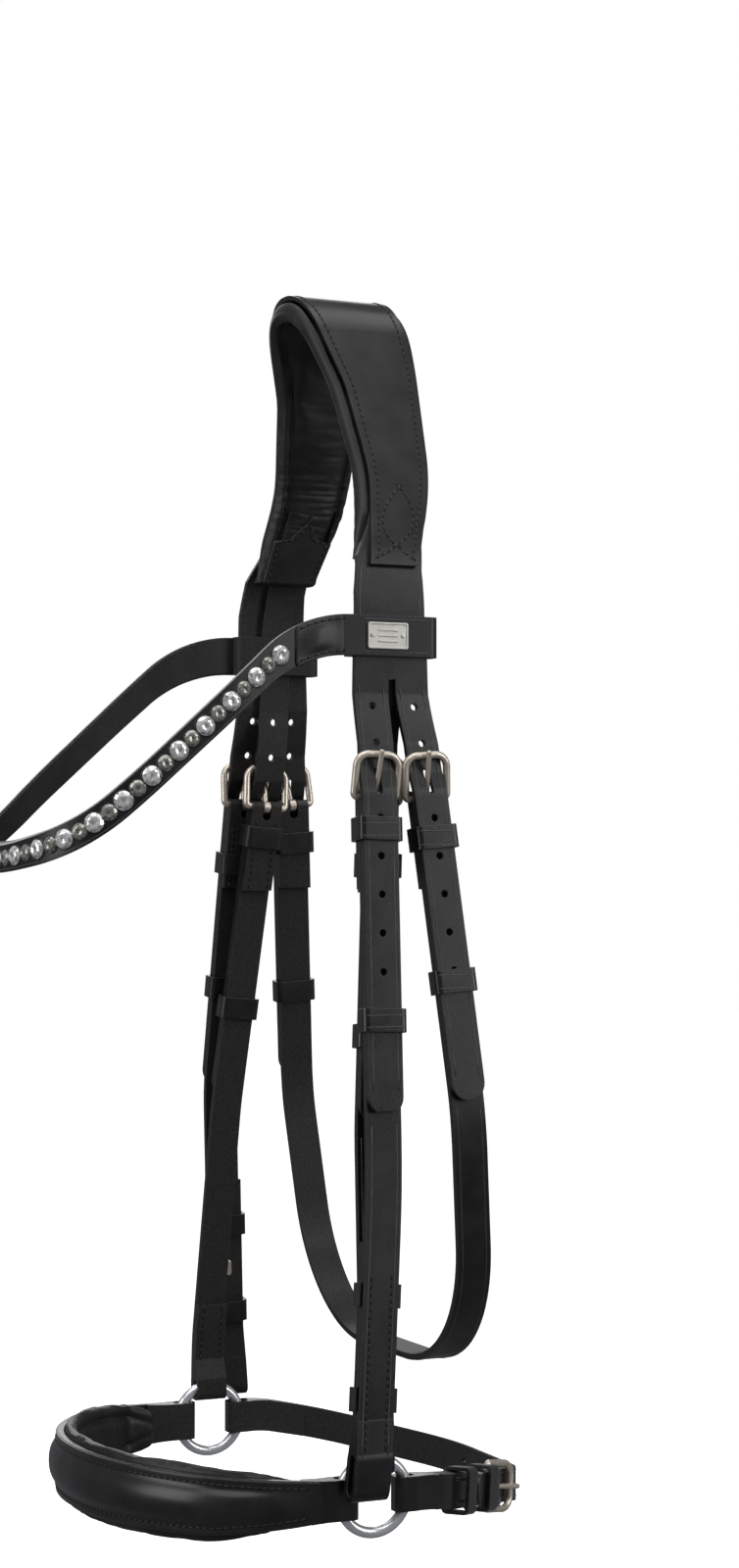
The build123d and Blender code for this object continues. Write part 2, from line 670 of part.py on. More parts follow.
def brow_level(y):
    """Height of the browband's middle line at a distance forwards."""
    middle = [(a[0], (a[1] + b[1]) / 2, a[2]) for a, b in zip(to_height(BROW_TOP), to_height(BROW_BOTTOM))]
    with BuildLine() as line:
        draw(middle)
    path = line.wires()[0]
    ends = (0.0, 1.0) if (path @ 0).X > (path @ 1).X else (1.0, 0.0)
    for _ in range(24):
        share = sum(ends) / 2
        if (path @ share).X > y:
            ends = (share, ends[1])
        else:
            ends = (ends[0], share)
    return (path @ ends[0]).Y


def brow_loop_plan():
    """Plan of a loop round the straps: inner width for the stack, with leather all round."""
    x0, x1, y0, y1 = BROW_LOOP_BOX
    with BuildSketch() as plan:
        with Locations(((x0 + x1) / 2, (y0 + y1) / 2)):
            RectangleRounded(x1 - x0 + 2 * BROW_LEATHER, y1 - y0 + 2 * BROW_LEATHER, 4.0)
            RectangleRounded(x1 - x0, y1 - y0, 1.6, mode=Mode.SUBTRACT)
    return plan.sketch


def browband():
    with BuildPart() as half:
        extrude(brow_loop_plan(), SPAN, both=True)
        extrude(ribbon(Plane.XY, BROW_PLAN, 0, BROW_LEATHER), SPAN, both=True)
        add(side_cut([brow_view()]), mode=Mode.INTERSECT)
    return whole(half.part)


def browband_lining():
    start = BROW_LOOP_BOX[2] - BROW_LEATHER - GAP
    path = [(BROW_PLAN[0][0], start, 0)] + BROW_PLAN[1:]
    with BuildPart() as half:
        extrude(ribbon(Plane.XY, path, -2.2, -GAP), SPAN, both=True)
        add(side_cut([brow_view(0.5)]), mode=Mode.INTERSECT)
    return whole(half.part)


def stone_row():
    """Where each stone sits along the browband's near half, from the middle: point and way out."""
    with BuildLine() as line:
        draw(shifted(BROW_PLAN, BROW_LEATHER + 0.15))
    path = line.wires()[0]
    row = []
    along = 0.0
    while path.length - along > STONE_START:
        at = path.position_at(path.length - along, position_mode=PositionMode.LENGTH)
        way = path.tangent_at(path.length - along, position_mode=PositionMode.LENGTH)
        row.append((at, Vector(-way.Y, way.X, 0)))
        fall = BROW_SLOPE * abs(way.Y)
        along += CRYSTAL_PITCH / math.hypot(1, fall)
    return row


def crystals(kind):
    """Every second stone along the browband, clear at the middle, smoke between."""
    radius = CRYSTAL_R[kind]
    with BuildPart() as stones:
        for index, (at, out) in enumerate(stone_row()):
            if index % 2 != (0 if kind == "clear" else 1):
                continue
            level = brow_level(at.Y) + STONE_LIFT
            for side in ((1, -1) if index else (1,)):
                place = Plane(origin=(side * at.X, at.Y, level), z_dir=(side * out.X, out.Y, 0))
                with Locations(place.location):
                    Cone(radius, radius * 0.55, radius * 0.42,
                         align=(Align.CENTER, Align.CENTER, Align.MIN))
    return stones.part


def badge_plane(lift):
    x = BROW_LOOP_BOX[1] + BROW_LEATHER + lift
    return Plane(origin=(x, BADGE[0], height(BADGE[1])), x_dir=(0, 1, 0), z_dir=(1, 0, 0))


def badge_plate():
    """Plain plate with a raised rim and a row of bars."""
    long, tall = BADGE[2:]
    with BuildPart() as plate:
        with BuildSketch(badge_plane(0.05)):
            RectangleRounded(long, tall, 1.0)
        extrude(amount=0.7)
        with BuildSketch(badge_plane(0.75)):
            RectangleRounded(long, tall, 1.0)
            RectangleRounded(long - 1.8, tall - 1.8, 0.6, mode=Mode.SUBTRACT)
        extrude(amount=0.25)
        with BuildSketch(badge_plane(0.75)):
            with GridLocations(0, 2.4, 1, 3):
                SlotOverall(9.5, 0.9)
        extrude(amount=0.2)
    return plate.part


def badge_rivets():
    with BuildPart() as rivets:
        with BuildSketch(badge_plane(0.8)):
            with GridLocations(14.4, 0, 2, 1):
                Circle(0.9)
        extrude(amount=0.45)
    return rivets.part


# ---- noseband -----------------------------------------------------------------------------
def ring():
    with BuildPart() as wire:
        with Locations(Location((RING_X, RING_Y, height(RING_DROP)), (0, 90, 0))):
            Torus(RING_R, WIRE_R)
    return wire.part


def ring_eye(side, facing, half_height):
    """Plan of a strap's loop round a ring's front or rear: the leather, then the hollow."""
    gap = WIRE_R + RUN_CLEARANCE
    near_end = math.sqrt((RING_R - WIRE_R) ** 2 - half_height ** 2) - RUN_CLEARANCE
    far_end = RING_R + gap
    x_in, x_out = RING_X - gap - EYE_LEATHER, RING_X + gap + 2.0
    with BuildSketch() as leather:
        with BuildLine():
            FilletPolyline((x_in, far_end), (x_in, near_end - EYE_LEATHER),
                           (x_out, near_end - EYE_LEATHER), (x_out, far_end), radius=3.0)
            Polyline((x_out, far_end), (RING_X + 2.9, far_end + 11),
                     (RING_X - 2.9, far_end + 11), (x_in, far_end))
        make_face()
    with BuildSketch() as hollow:
        with Locations((RING_X, (near_end + far_end) / 2)):
            RectangleRounded(2 * gap, far_end - near_end, gap - 0.2)
    place = Location((0, RING_Y, 0))
    faces = []
    for face in (leather.sketch, hollow.sketch):
        if facing == "front":
            face = mirror(face, about=Plane.XZ)
        if side == "far":
            face = mirror(face, about=Plane.YZ)
        faces.append(place * face)
    return faces


def nose_view(top, bottom):
    with BuildSketch(Plane.YZ) as view:
        with BuildLine():
            draw(to_height(top))
            draw(to_height(bottom))
            Line((top[0][0], height(top[0][1])), (bottom[0][0], height(bottom[0][1])))
            Line((top[-1][0], height(top[-1][1])), (bottom[-1][0], height(bottom[-1][1])))
        make_face()
    return view.sketch


def noseband_front():
    top = [(-24, 511.5, 0), (-48, 511.5, 90), (-92, 509, 90), (-130, 507, 0)]
    bottom = [(-24, 528.5, 0), (-46, 528.5, 90), (-92, 533.5, 90), (-130, 533.5, 0)]
    back = [(93.5, -41, 0), (93.5, -56, 0)]
    leather, hollow = ring_eye("near", "front", NOSE_LOOP_HALF)
    with BuildPart() as half:
        extrude(ribbon(Plane.XY, NOSE_PLAN, 0.1, 0.1 + NOSE_LEATHER), SPAN * 2, both=True)
        extrude(ribbon(Plane.XY, back, -0.1 - NOSE_LEATHER, -0.1), SPAN * 2, both=True)
        extrude(leather, SPAN * 2, both=True)
        extrude(hollow, SPAN * 2, both=True, mode=Mode.SUBTRACT)
        add(side_cut([nose_view(top, bottom)]), mode=Mode.INTERSECT)
    return whole(half.part)


def noseband_padding():
    top = [(NOSE_PAD_START, 510, 0), (-90, 506.5, 60), (-130, 504.5, 0)]
    bottom = [(NOSE_PAD_START, 531, 0), (-90, 537, 60), (-130, 537, 0)]
    with BuildPart() as half:
        extrude(ribbon(Plane.XY, NOSE_PLAN, -0.1 - NOSE_PADDING, -0.1 - GAP), SPAN * 2, both=True)
        add(side_cut([nose_view(top, bottom)]), mode=Mode.INTERSECT)
    return whole(half.part)


def chin_view():
    return ribbon(Plane.YZ, to_height(CHIN_SIDE), -CHIN_WIDTH / 2, CHIN_WIDTH / 2)


def chin_slot(distance, level, long, wide, deep):
    with BuildPart(mode=Mode.PRIVATE) as slot:
        with BuildSketch(chin_plane(distance, level)):
            SlotOverall(long, wide, rotation=90)
        extrude(amount=deep, both=True)
    return slot.part


def chin_strap():
    """Long strap: loop round the far ring, holes at the rear, round tip on the near side."""
    leather, hollow = ring_eye("far", "rear", CHIN_WIDTH / 2)
    start = (-96.6, RING_Y + RING_R + WIRE_R, 0)
    corners = shifted([start] + CHIN_PLAN[1:5], -1.5)[:4]
    step_out = [(*chin_point(72, -1.5), 14), (*chin_point(62, 1.3), 14)]
    path = corners + step_out + [(*chin_point(CHIN_TIP, 1.3), 0)]
    back = shifted([start, (-96.6, 24, 0)], -4.4)
    tip = chin_plane(CHIN_TIP + CHIN_WIDTH / 2, 0)
    with BuildLine() as middle:
        draw(path)
    line = middle.wires()[0]
    slot_at = line.length - (CHIN_BAR + 7 - CHIN_TIP)
    with BuildPart() as strap:
        extrude(ribbon(Plane.XY, path, -LEATHER / 2 + 0.1, LEATHER / 2 - 0.1), SPAN * 2, both=True)
        extrude(ribbon(Plane.XY, back, -LEATHER / 2, LEATHER / 2), SPAN * 2, both=True)
        extrude(leather, SPAN * 2, both=True)
        extrude(hollow, SPAN * 2, both=True, mode=Mode.SUBTRACT)
        add(side_cut([chin_view()]), mode=Mode.INTERSECT)
        for step in range(1, CHIN_HOLES + 1):
            at = line.position_at(slot_at - step * HOLE_PITCH, position_mode=PositionMode.LENGTH)
            way = line.tangent_at(slot_at - step * HOLE_PITCH, position_mode=PositionMode.LENGTH)
            place = Plane(origin=(at.X, at.Y, height(side_drop(CHIN_SIDE, at.Y))), z_dir=(-way.Y, way.X, 0))
            with BuildSketch(place):
                Circle(HOLE_R)
            extrude(amount=4, both=True, mode=Mode.SUBTRACT)
        add(chin_slot(CHIN_BAR + 7, 0, 11.5, 2 * HOLE_R, 5), mode=Mode.SUBTRACT)
        with BuildSketch(tip):
            with Locations((0, -CHIN_WIDTH / 4)):
                Rectangle(2 * CHIN_WIDTH, CHIN_WIDTH * 0.75 + 4)
            with Locations((0, 0)):
                Circle(CHIN_WIDTH / 2 + 0.05, mode=Mode.SUBTRACT)
            with Locations((0, CHIN_WIDTH / 2)):
                Rectangle(2 * CHIN_WIDTH, CHIN_WIDTH, mode=Mode.SUBTRACT)
        extrude(amount=4, both=True, mode=Mode.SUBTRACT)
    return strap.part


def chin_buckle_strap():
    """Short strap: loop round the near ring, and the fold that holds the buckle's bar."""
    leather, hollow = ring_eye("near", "rear", CHIN_WIDTH / 2)
    start = (96.6, RING_Y + RING_R + WIRE_R, 0)
    line = [(*chin_point(CHIN_BAR, 0), 0), CHIN_PLAN[4], start]
    bar = chin_point(CHIN_BAR, -BAR_DEPTH)
    with BuildPart() as strap:
        extrude(ribbon(Plane.XY, line, -3.0, -GAP), SPAN * 2, both=True)
        extrude(ribbon(Plane.XY, line, -6.0, -3.2), SPAN * 2, both=True)
        extrude(disc(Plane.XY, bar, 2.9), SPAN * 2, both=True)
        extrude(leather, SPAN * 2, both=True)
        extrude(hollow, SPAN * 2, both=True, mode=Mode.SUBTRACT)
        add(side_cut([chin_view()]), mode=Mode.INTERSECT)
        place = chin_plane(CHIN_BAR, -BAR_DEPTH)
        with BuildSketch(Plane(origin=place.origin, x_dir=place.y_dir, z_dir=place.x_dir)):
            Circle(BAR_BORE)
        extrude(amount=30, both=True, mode=Mode.SUBTRACT)
        add(chin_slot(CHIN_BAR + 0.5, -3.1, 13, 4.2, 5), mode=Mode.SUBTRACT)
    return strap.part


def chin_keeper(distance):
    """Keeper round the short strap's two layers and the long strap's punched end."""
    plane = chin_plane(distance, CHIN_KEEPER_MIDDLE)
    return keeper(plane, CHIN_WIDTH + CHIN_KEEPER_EASE, -CHIN_KEEPER_HALF, CHIN_KEEPER_HALF)


# ---- the whole bridle ---------------------------------------------------------------------
def main():
    os.makedirs("parts", exist_ok=True)
    save(headpiece(), "headpiece")
    save(noseband_headstrap(), "noseband_headstrap")
    save(crown_cover(), "crown_cover")
    save(crown_padding(), "crown_padding")
    save(browband(), "browband")
    save(browband_lining(), "browband_lining")
    save(crystals("clear"), "crystals_clear")
    save(crystals("smoke"), "crystals_smoke")
    save(badge_plate(), "badge_plate")
    save(badge_rivets(), "badge_rivets")

    straps = {"cheek": (CHEEK_LINE, CHEEK_WIDTH, CHEEK_LEVEL),
              "throat": (THROAT_LINE, THROAT_WIDTH, CHEEK_LEVEL),
              "hanger": (HANGER_LINE, HANGER_WIDTH, HANGER_LEVEL)}
    for name, (line, width, level) in straps.items():
        bar = strap_plane(line, BAR_DROP, level - BAR_DEPTH)
        save_pair(buckle_frame(bar), f"{name}_buckle_frame")
        save_pair(buckle_tongue(bar), f"{name}_buckle_tongue")
        for side in ("near", "far"):
            fixed_drop = FIXED_KEEPER_DROP[f"{side}_{name}"]
            runner_drop = RUNNER_DROP[f"{side}_{name}"]
            fixed = strap_keeper(line, width, fixed_drop, level, -BACK_DEPTH, BILLET)
            runner = strap_keeper(line, width, runner_drop, level, -LEATHER - GAP, BILLET)
            save_side(fixed, side, f"{name}_fixed_keeper")
            save_side(runner, side, f"{name}_runner")

    for side in ("near", "far"):
        save_side(cheekpiece(side), side, "cheekpiece")
        save_side(hook_stud(side), side, "hook_stud")
        for place, up in zip(("upper", "lower"), STUD_KEEPERS_UP):
            save_side(stud_keeper(side, up), side, f"stud_{place}_keeper")
    save_pair(hanger(), "noseband_hanger")
    save(throatlatch(), "throatlatch")

    save(noseband_front(), "noseband_front")
    save(noseband_padding(), "noseband_padding")
    save_pair(ring(), "noseband_ring")
    save(chin_strap(), "chin_strap")
    save(chin_buckle_strap(), "chin_buckle_strap")
    bar = chin_plane(CHIN_BAR, -BAR_DEPTH)
    save(buckle_frame(bar), "chin_buckle_frame")
    save(buckle_tongue(bar), "chin_buckle_tongue")
    for name, distance in CHIN_KEEPERS.items():
        save(chin_keeper(distance), name)


main()
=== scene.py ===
import json
import math
import random

import bmesh
import bpy
import numpy as np
from mathutils import Matrix, Vector
from mathutils.bvhtree import BVHTree


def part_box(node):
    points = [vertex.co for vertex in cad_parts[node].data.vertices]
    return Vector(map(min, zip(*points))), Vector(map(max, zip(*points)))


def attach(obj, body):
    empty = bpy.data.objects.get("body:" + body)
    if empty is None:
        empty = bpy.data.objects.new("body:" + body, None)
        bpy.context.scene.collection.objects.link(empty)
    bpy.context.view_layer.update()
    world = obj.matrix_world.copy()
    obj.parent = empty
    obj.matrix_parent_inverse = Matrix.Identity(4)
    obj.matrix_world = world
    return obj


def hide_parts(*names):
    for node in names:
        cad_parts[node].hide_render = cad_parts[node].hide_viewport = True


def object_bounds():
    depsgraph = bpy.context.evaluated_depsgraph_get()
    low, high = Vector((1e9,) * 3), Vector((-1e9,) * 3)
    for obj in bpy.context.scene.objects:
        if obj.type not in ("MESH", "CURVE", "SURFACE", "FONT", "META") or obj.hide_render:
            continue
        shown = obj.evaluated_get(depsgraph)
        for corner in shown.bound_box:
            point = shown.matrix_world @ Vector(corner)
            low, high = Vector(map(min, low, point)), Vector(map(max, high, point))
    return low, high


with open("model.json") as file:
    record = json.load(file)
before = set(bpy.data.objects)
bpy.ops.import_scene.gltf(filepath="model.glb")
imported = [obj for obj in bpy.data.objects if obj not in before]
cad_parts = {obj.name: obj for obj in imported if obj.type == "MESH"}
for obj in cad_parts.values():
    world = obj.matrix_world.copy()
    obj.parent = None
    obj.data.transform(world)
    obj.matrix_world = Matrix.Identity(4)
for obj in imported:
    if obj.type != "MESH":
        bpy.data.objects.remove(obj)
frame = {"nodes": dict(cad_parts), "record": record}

# Lengths are in metres, in the part's own frame: +X near side, -Y towards the nose, +Z up.
MM = 0.001
UP = Vector((0, 0, 1))
REAR = Vector((0, 1, 0))
LEFT = Vector((1, 0, 0))
CAD_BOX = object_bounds()
SIDES = {"near": 1, "far": -1}
random.seed(7)

STITCH_PITCH = 3.1 * MM
STITCH_LONG = 2.3 * MM
THREAD_R = 0.42 * MM
CREASE_HALF = 0.28 * MM
CREASE_RISE = 0.2 * MM
HOLE_WIDE = 5 * MM
HALF_STRAP = 8.5 * MM
EDGE_SHARE = 0.04       # how far in from a strap's edges its face is sampled
FAR_OUT = 0.4           # where the rays that look for a face start

NODES = frame["nodes"]
BODY_OF = {node: body for body, nodes in frame["record"]["behaviour"]["bodies"].items() for node in nodes}
SLOT_OF = {row["node"]: row["material_slot"] for row in frame["record"]["subparts"]}


# ---- reading the frame ---------------------------------------------------------------------
TREES = {}
TRIANGLES = {}


def mesh_tree(mesh):
    return BVHTree.FromPolygons([v.co for v in mesh.vertices], [p.vertices for p in mesh.polygons])


def tree_of(node):
    """A ray tree of one CAD node."""
    if node not in TREES:
        TREES[node] = mesh_tree(NODES[node].data)
    return TREES[node]


def triangles_of(node):
    if node not in TRIANGLES:
        mesh = NODES[node].data
        mesh.calc_loop_triangles()
        points = np.array([v.co for v in mesh.vertices])
        TRIANGLES[node] = points[np.array([t.vertices for t in mesh.loop_triangles])]
    return TRIANGLES[node]


class Groups:
    """Keys gathered into groups as they are found to belong together."""

    def __init__(self):
        self.owner = {}

    def root(self, key):
        while self.owner[key] != key:
            self.owner[key] = self.owner[self.owner[key]]
            key = self.owner[key]
        return key

    def join(self, key, other):
        self.owner.setdefault(key, key)
        self.owner.setdefault(other, other)
        self.owner[self.root(key)] = self.root(other)


def section(node, centre, normal):
    """The loops that a plane cuts out of a node, each as an array of points."""
    triangles = triangles_of(node)
    away = (triangles - np.array(centre)) @ np.array(normal)
    cut = triangles[(away.min(1) < 0) & (away.max(1) >= 0)]
    away = (cut - np.array(centre)) @ np.array(normal)
    groups, ends = Groups(), []
    for corners, side in zip(cut, away):
        pair = []
        for i, j in ((0, 1), (1, 2), (2, 0)):
            if (side[i] < 0) != (side[j] < 0):
                share = side[i] / (side[i] - side[j])
                pair.append(corners[i] + share * (corners[j] - corners[i]))
        keys = [tuple(np.round(p, 6)) for p in pair]
        groups.join(keys[0], keys[1])
        ends += list(zip(keys, pair))
    loops = {}
    for key, point in ends:
        loops.setdefault(groups.root(key), []).append(point)
    return [np.array(points) for points in loops.values()]


class Station:
    """A place along a strap: its two edges on the outer face, and the way out of that face."""

    def __init__(self, low, high, out):
        self.low, self.high, self.out = low, high, out

    def at(self, share):
        return self.low.lerp(self.high, share)

    @property
    def width(self):
        return (self.high - self.low).length

    @property
    def across(self):
        return (self.high - self.low).normalized()


def surface(node, start, way):
    """The first point of a node's surface along a ray, and its normal."""
    point, normal, _, _ = tree_of(node).ray_cast(start, way)
    return point, normal


def joined_span(spans, hint):
    """The span of one strap, whose section may be parted by a hole or have a neighbour."""
    if hint is None:
        low, high = max(spans, key=lambda s: s[1] - s[0])
        near = [s for s in spans if s[0] < high + HOLE_WIDE and s[1] > low - HOLE_WIDE]
    else:
        near = [s for s in spans if abs((s[0] + s[1]) / 2 - hint) < HALF_STRAP]
        near = near or [min(spans, key=lambda s: abs((s[0] + s[1]) / 2 - hint))]
    return min(s[0] for s in near), max(s[1] for s in near)


def stations(node, centres, spokes, across, hint=None):
    """Stations along a node, one per spoke: the outer face seen along that spoke from outside."""
    found = []
    for centre, spoke in zip(centres, spokes):
        loops = [s for s in section(node, centre, spoke.cross(across))
                 if ((s - np.array(centre)) @ np.array(spoke)).mean() > 0]
        if not loops:
            continue
        reach = [(loop - np.array(centre)) @ np.array(across) for loop in loops]
        low, high = joined_span([(float(r.min()), float(r.max())) for r in reach], hint)
        hint = (low + high) / 2 if hint is not None else None
        points = []
        for place in (low + EDGE_SHARE * (high - low), high - EDGE_SHARE * (high - low)):
            start = centre + across * place + spoke * FAR_OUT
            points.append(surface(node, start, -spoke)[0])
        if None in points:
            continue
        end, other = points
        reach = (other - end) / (1 - 2 * EDGE_SHARE)
        found.append(Station(end - reach * EDGE_SHARE, other + reach * EDGE_SHARE, spoke.copy()))
    return settled(found)


def settled(found):
    """Turns each station's outward direction square to its strap."""
    for index, station in enumerate(found):
        before, after = found[max(index - 1, 0)], found[min(index + 1, len(found) - 1)]
        along = (after.at(0.5) - before.at(0.5)).normalized()
        out = along.cross(station.across).normalized()
        station.facing = out if out.dot(station.out) > 0 else -out
    for station in found:
        station.out = station.facing
    return found


def spin(first, last, count):
    """Evenly spaced angles, in radians, from first to last in degrees."""
    return [math.radians(first + (last - first) * i / (count - 1)) for i in range(count)]


def hanging(node, side, top, bottom, count=24, hint=None):
    """Stations down a hanging strap, between two heights."""
    heights = [top + (bottom - top) * i / (count - 1) for i in range(count)]
    centres = [Vector((0, 0, z)) for z in heights]
    return stations(node, centres, [LEFT * SIDES[side]] * count, REAR, hint)


def arch(node, centre, first, last, count=60):
    """Stations round an arch or a U seen from the front. Angle 0 is up, 90 the near side."""
    spokes = [Vector((math.sin(a), 0, math.cos(a))) for a in spin(first, last, count)]
    return stations(node, [centre] * count, spokes, REAR)


def hoop(node, centre, first, last, count=60, hint=None):
    """Stations round a hoop seen from above. Angle 0 is the nose, 90 the near side."""
    spokes = [Vector((math.sin(a), -math.cos(a), 0)) for a in spin(first, last, count)]
    return stations(node, [centre] * count, spokes, UP, hint)


def lengths_along(points):
    """The length of a line up to each of its points."""
    lengths = [0.0]
    for a, b in zip(points, points[1:]):
        lengths.append(lengths[-1] + (b - a).length)
    return lengths


def evenly(points, pitch):
    """Points every pitch along a line, each with the line's direction there."""
    lengths = lengths_along(points)
    count = max(int(lengths[-1] / pitch), 1)
    placed, leg = [], 0
    for index in range(count + 1):
        at = lengths[-1] * index / count
        while leg < len(points) - 2 and lengths[leg + 1] < at:
            leg += 1
        run = max(lengths[leg + 1] - lengths[leg], 1e-9)
        a, b = points[leg], points[leg + 1]
        placed.append((a.lerp(b, (at - lengths[leg]) / run), (b - a).normalized()))
    return placed


def inwards(lines):
    """The same lines, facing the inner side of their strap."""
    return [(line, [-out for out in facing]) for line, facing in lines]


def edge_line(places, edge, inset, start=0.0, end=1.0):
    """A line at a fixed inset from the low or the high edge, over a share of the strap."""
    last = len(places) - 1
    line, facing = [], []
    for index, place in enumerate(places):
        if start <= index / last <= end:
            share = inset / place.width
            line.append(place.at(share if edge == "low" else 1 - share))
            facing.append(place.out)
    return line, facing


def both_edges(places, inset, start=0.0, end=1.0):
    return [edge_line(places, edge, inset, start, end) for edge in ("low", "high")]


# ---- mesh making ---------------------------------------------------------------------------
def in_scene(name, data):
    """A new object of the scene."""
    item = bpy.data.objects.new(name, data)
    bpy.context.scene.collection.objects.link(item)
    return item


def turns(count):
    """Angles round a full turn."""
    return [math.tau * i / count for i in range(count)]


def around(centre, out, radius, share, lift, angles):
    """Points on a circle about an axis, lifted along it."""
    side = out.cross(UP).normalized()
    top = side.cross(out).normalized()
    return [centre + (side * math.cos(a) + top * math.sin(a)) * radius * share + lift for a in angles]


class Shape:
    """Points and faces gathered for one mesh."""

    def __init__(self):
        self.points, self.faces, self.marks = [], [], []

    def grid(self, rows, mark=0, ends=True):
        """A tube through equal rows of points, closed at its ends or open."""
        base, wide = len(self.points), len(rows[0])
        for row in rows:
            self.points += row
        for r in range(len(rows) - 1):
            for c in range(wide):
                d = (c + 1) % wide
                a, b = base + r * wide, base + (r + 1) * wide
                self.face((a + c, a + d, b + d, b + c), mark)
        if ends:
            last = base + (len(rows) - 1) * wide
            self.face(tuple(base + c for c in reversed(range(wide))), mark)
            self.face(tuple(last + c for c in range(wide)), mark)

    def face(self, corners, mark=0):
        self.faces.append(corners)
        self.marks.append(mark)

    def build(self, name, materials, body, slot, smooth=True):
        mesh = bpy.data.meshes.new(name)
        mesh.from_pydata([tuple(p) for p in self.points], [], self.faces)
        for material in materials:
            mesh.materials.append(material)
        mesh.polygons.foreach_set("material_index", self.marks)
        mesh.polygons.foreach_set("use_smooth", [smooth] * len(self.faces))
        mesh.validate()
        piece = in_scene(name, mesh)
        fix_normals(mesh)
        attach(piece, body)
        return piece


def fix_normals(mesh):
    """Turns every face outwards."""
    work = bmesh.new()
    work.from_mesh(mesh)
    bmesh.ops.recalc_face_normals(work, faces=work.faces)
    work.to_mesh(mesh)
    work.free()


def capsule(shape, centre, along, out, long, radius, flat, mark):
    """A low rounded bead lying on a surface, such as one stitch."""
    side = along.cross(out).normalized()
    rows = []
    for step, swell in ((-0.5, 0.35), (-0.36, 0.85), (0, 1.0), (0.36, 0.85), (0.5, 0.35)):
        middle = centre + along * (long * step)
        rows.append([middle + side * (radius * swell * math.cos(a))
                     + out * (radius * swell * flat * math.sin(a)) for a in turns(6)])
    shape.grid(rows, mark=mark)


def stitch_rows(name, node, lines, pitch=STITCH_PITCH, target=None, reach=4 * MM):
    """Rows of saddle stitches with their holes, laid on a node along the given lines. Each hole is a flat
    near-black mark of painted shade.
    """
    shape = Shape()
    target = target or tree_of(node)
    for line, facing in lines:
        for point, along in evenly(line, pitch):
            nearest = min(range(len(line)), key=lambda i: (line[i] - point).length_squared)
            out = facing[nearest]
            hit, normal, _, _ = target.ray_cast(point + out * reach, -out)
            if hit is None:
                continue
            out = normal if normal.dot(out) > 0.2 else out
            slant = Matrix.Rotation(math.radians(9 + random.uniform(-3, 3)), 3, out)
            way = slant @ (along - out * along.dot(out)).normalized()
            place = hit + out * 0.06 * MM
            capsule(shape, place, way, out, STITCH_LONG, THREAD_R, 0.75, 0)
            # The hole is not cut: it is a flat near-black mark on the surface, painted shade.
            hole = hit + out * 0.03 * MM + along * (pitch / 2)
            capsule(shape, hole, way, out, 1.3 * MM, 0.55 * MM, 0.16, 1)
    shape.build(name, [THREAD, HOLE_SHADE], BODY_OF[node], SLOT_OF[node])


def creases(name, node, lines):
    """Crease lines, made as fine raised welts that catch the light; their pale colour is a painted highlight.
    """
    shape = Shape()
    for line, facing in lines:
        rows = []
        for index, (point, out) in enumerate(zip(line, facing)):
            hit, _, _, _ = tree_of(node).ray_cast(point + out * 4 * MM, -out)
            if hit is None or (hit - point).length > 2.5 * MM:
                if len(rows) > 1:
                    shape.grid(rows)
                rows = []
                continue
            ahead = line[min(index + 1, len(line) - 1)] - line[max(index - 1, 0)]
            side = ahead.cross(out).normalized()
            top, foot = hit + out * CREASE_RISE, hit - out * 0.1 * MM
            rows.append([foot + side * CREASE_HALF, top + side * CREASE_HALF * 0.5,
                         top - side * CREASE_HALF * 0.5, foot - side * CREASE_HALF])
        if len(rows) > 1:
            shape.grid(rows)
    shape.build(name, [CREASE_HIGHLIGHT], BODY_OF[node], SLOT_OF[node])


# ---- materials -----------------------------------------------------------------------------
FLESH_DARK = (0.0075, 0.0068, 0.0062)
FLESH_LIGHT = (0.03, 0.027, 0.024)
# Paler edge colour: partly edge wear, partly a painted highlight on the rounded edges.
WORN_EDGE_AND_HIGHLIGHT = (0.085, 0.078, 0.07)


def new_material(name):
    """A material with its node tree, its shader and the object's own coordinates."""
    material = bpy.data.materials.new(name)
    material.use_nodes = True
    tree = material.node_tree
    tree.nodes.clear()
    shader = tree.nodes.new("ShaderNodeBsdfPrincipled")
    output = tree.nodes.new("ShaderNodeOutputMaterial")
    tree.links.new(shader.outputs[0], output.inputs[0])
    return material, tree, shader, add(tree, "TexCoord").outputs["Object"]


def feed(tree, node, **inputs):
    """Sets a node's inputs, which are values or other nodes' outputs."""
    for key, value in inputs.items():
        numbered = key[0] == "i" and key[1:].isdigit()
        socket = node.inputs[int(key[1:]) if numbered else key.replace("_", " ")]
        if isinstance(value, bpy.types.NodeSocket):
            tree.links.new(value, socket)
        else:
            socket.default_value = value


def add(tree, kind, settings=None, **inputs):
    """A shader node with its settings and its inputs."""
    node = tree.nodes.new("ShaderNode" + kind)
    for key, value in (settings or {}).items():
        setattr(node, key, value)
    feed(tree, node, **inputs)
    return node


def noise(tree, place, scale, detail=3.0, rough=0.55):
    return add(tree, "TexNoise", Vector=place, Scale=scale, Detail=detail, Roughness=rough).outputs["Fac"]


def cells(tree, place, scale, feature="SMOOTH_F1"):
    return add(tree, "TexVoronoi", {"feature": feature}, Vector=place, Scale=scale).outputs["Distance"]


def remap(tree, value, low, high, to_low, to_high):
    return add(tree, "MapRange", i0=value, i1=low, i2=high, i3=to_low, i4=to_high).outputs[0]


def maths(tree, operation, a, b=0.0):
    return add(tree, "Math", {"operation": operation}, i0=a, i1=b).outputs[0]


def mix(tree, factor, a, b):
    """A blend of two colours, which are RGB values or other nodes' outputs."""
    a, b = (c if isinstance(c, bpy.types.NodeSocket) else (*c, 1) for c in (a, b))
    return add(tree, "Mix", {"data_type": "RGBA"}, i0=factor, i6=a, i7=b).outputs[2]


def bump(tree, height, strength, distance, normal):
    settings = {"Height": height, "Strength": strength, "Distance": distance, "Normal": normal}
    return add(tree, "Bump", **settings).outputs[0]


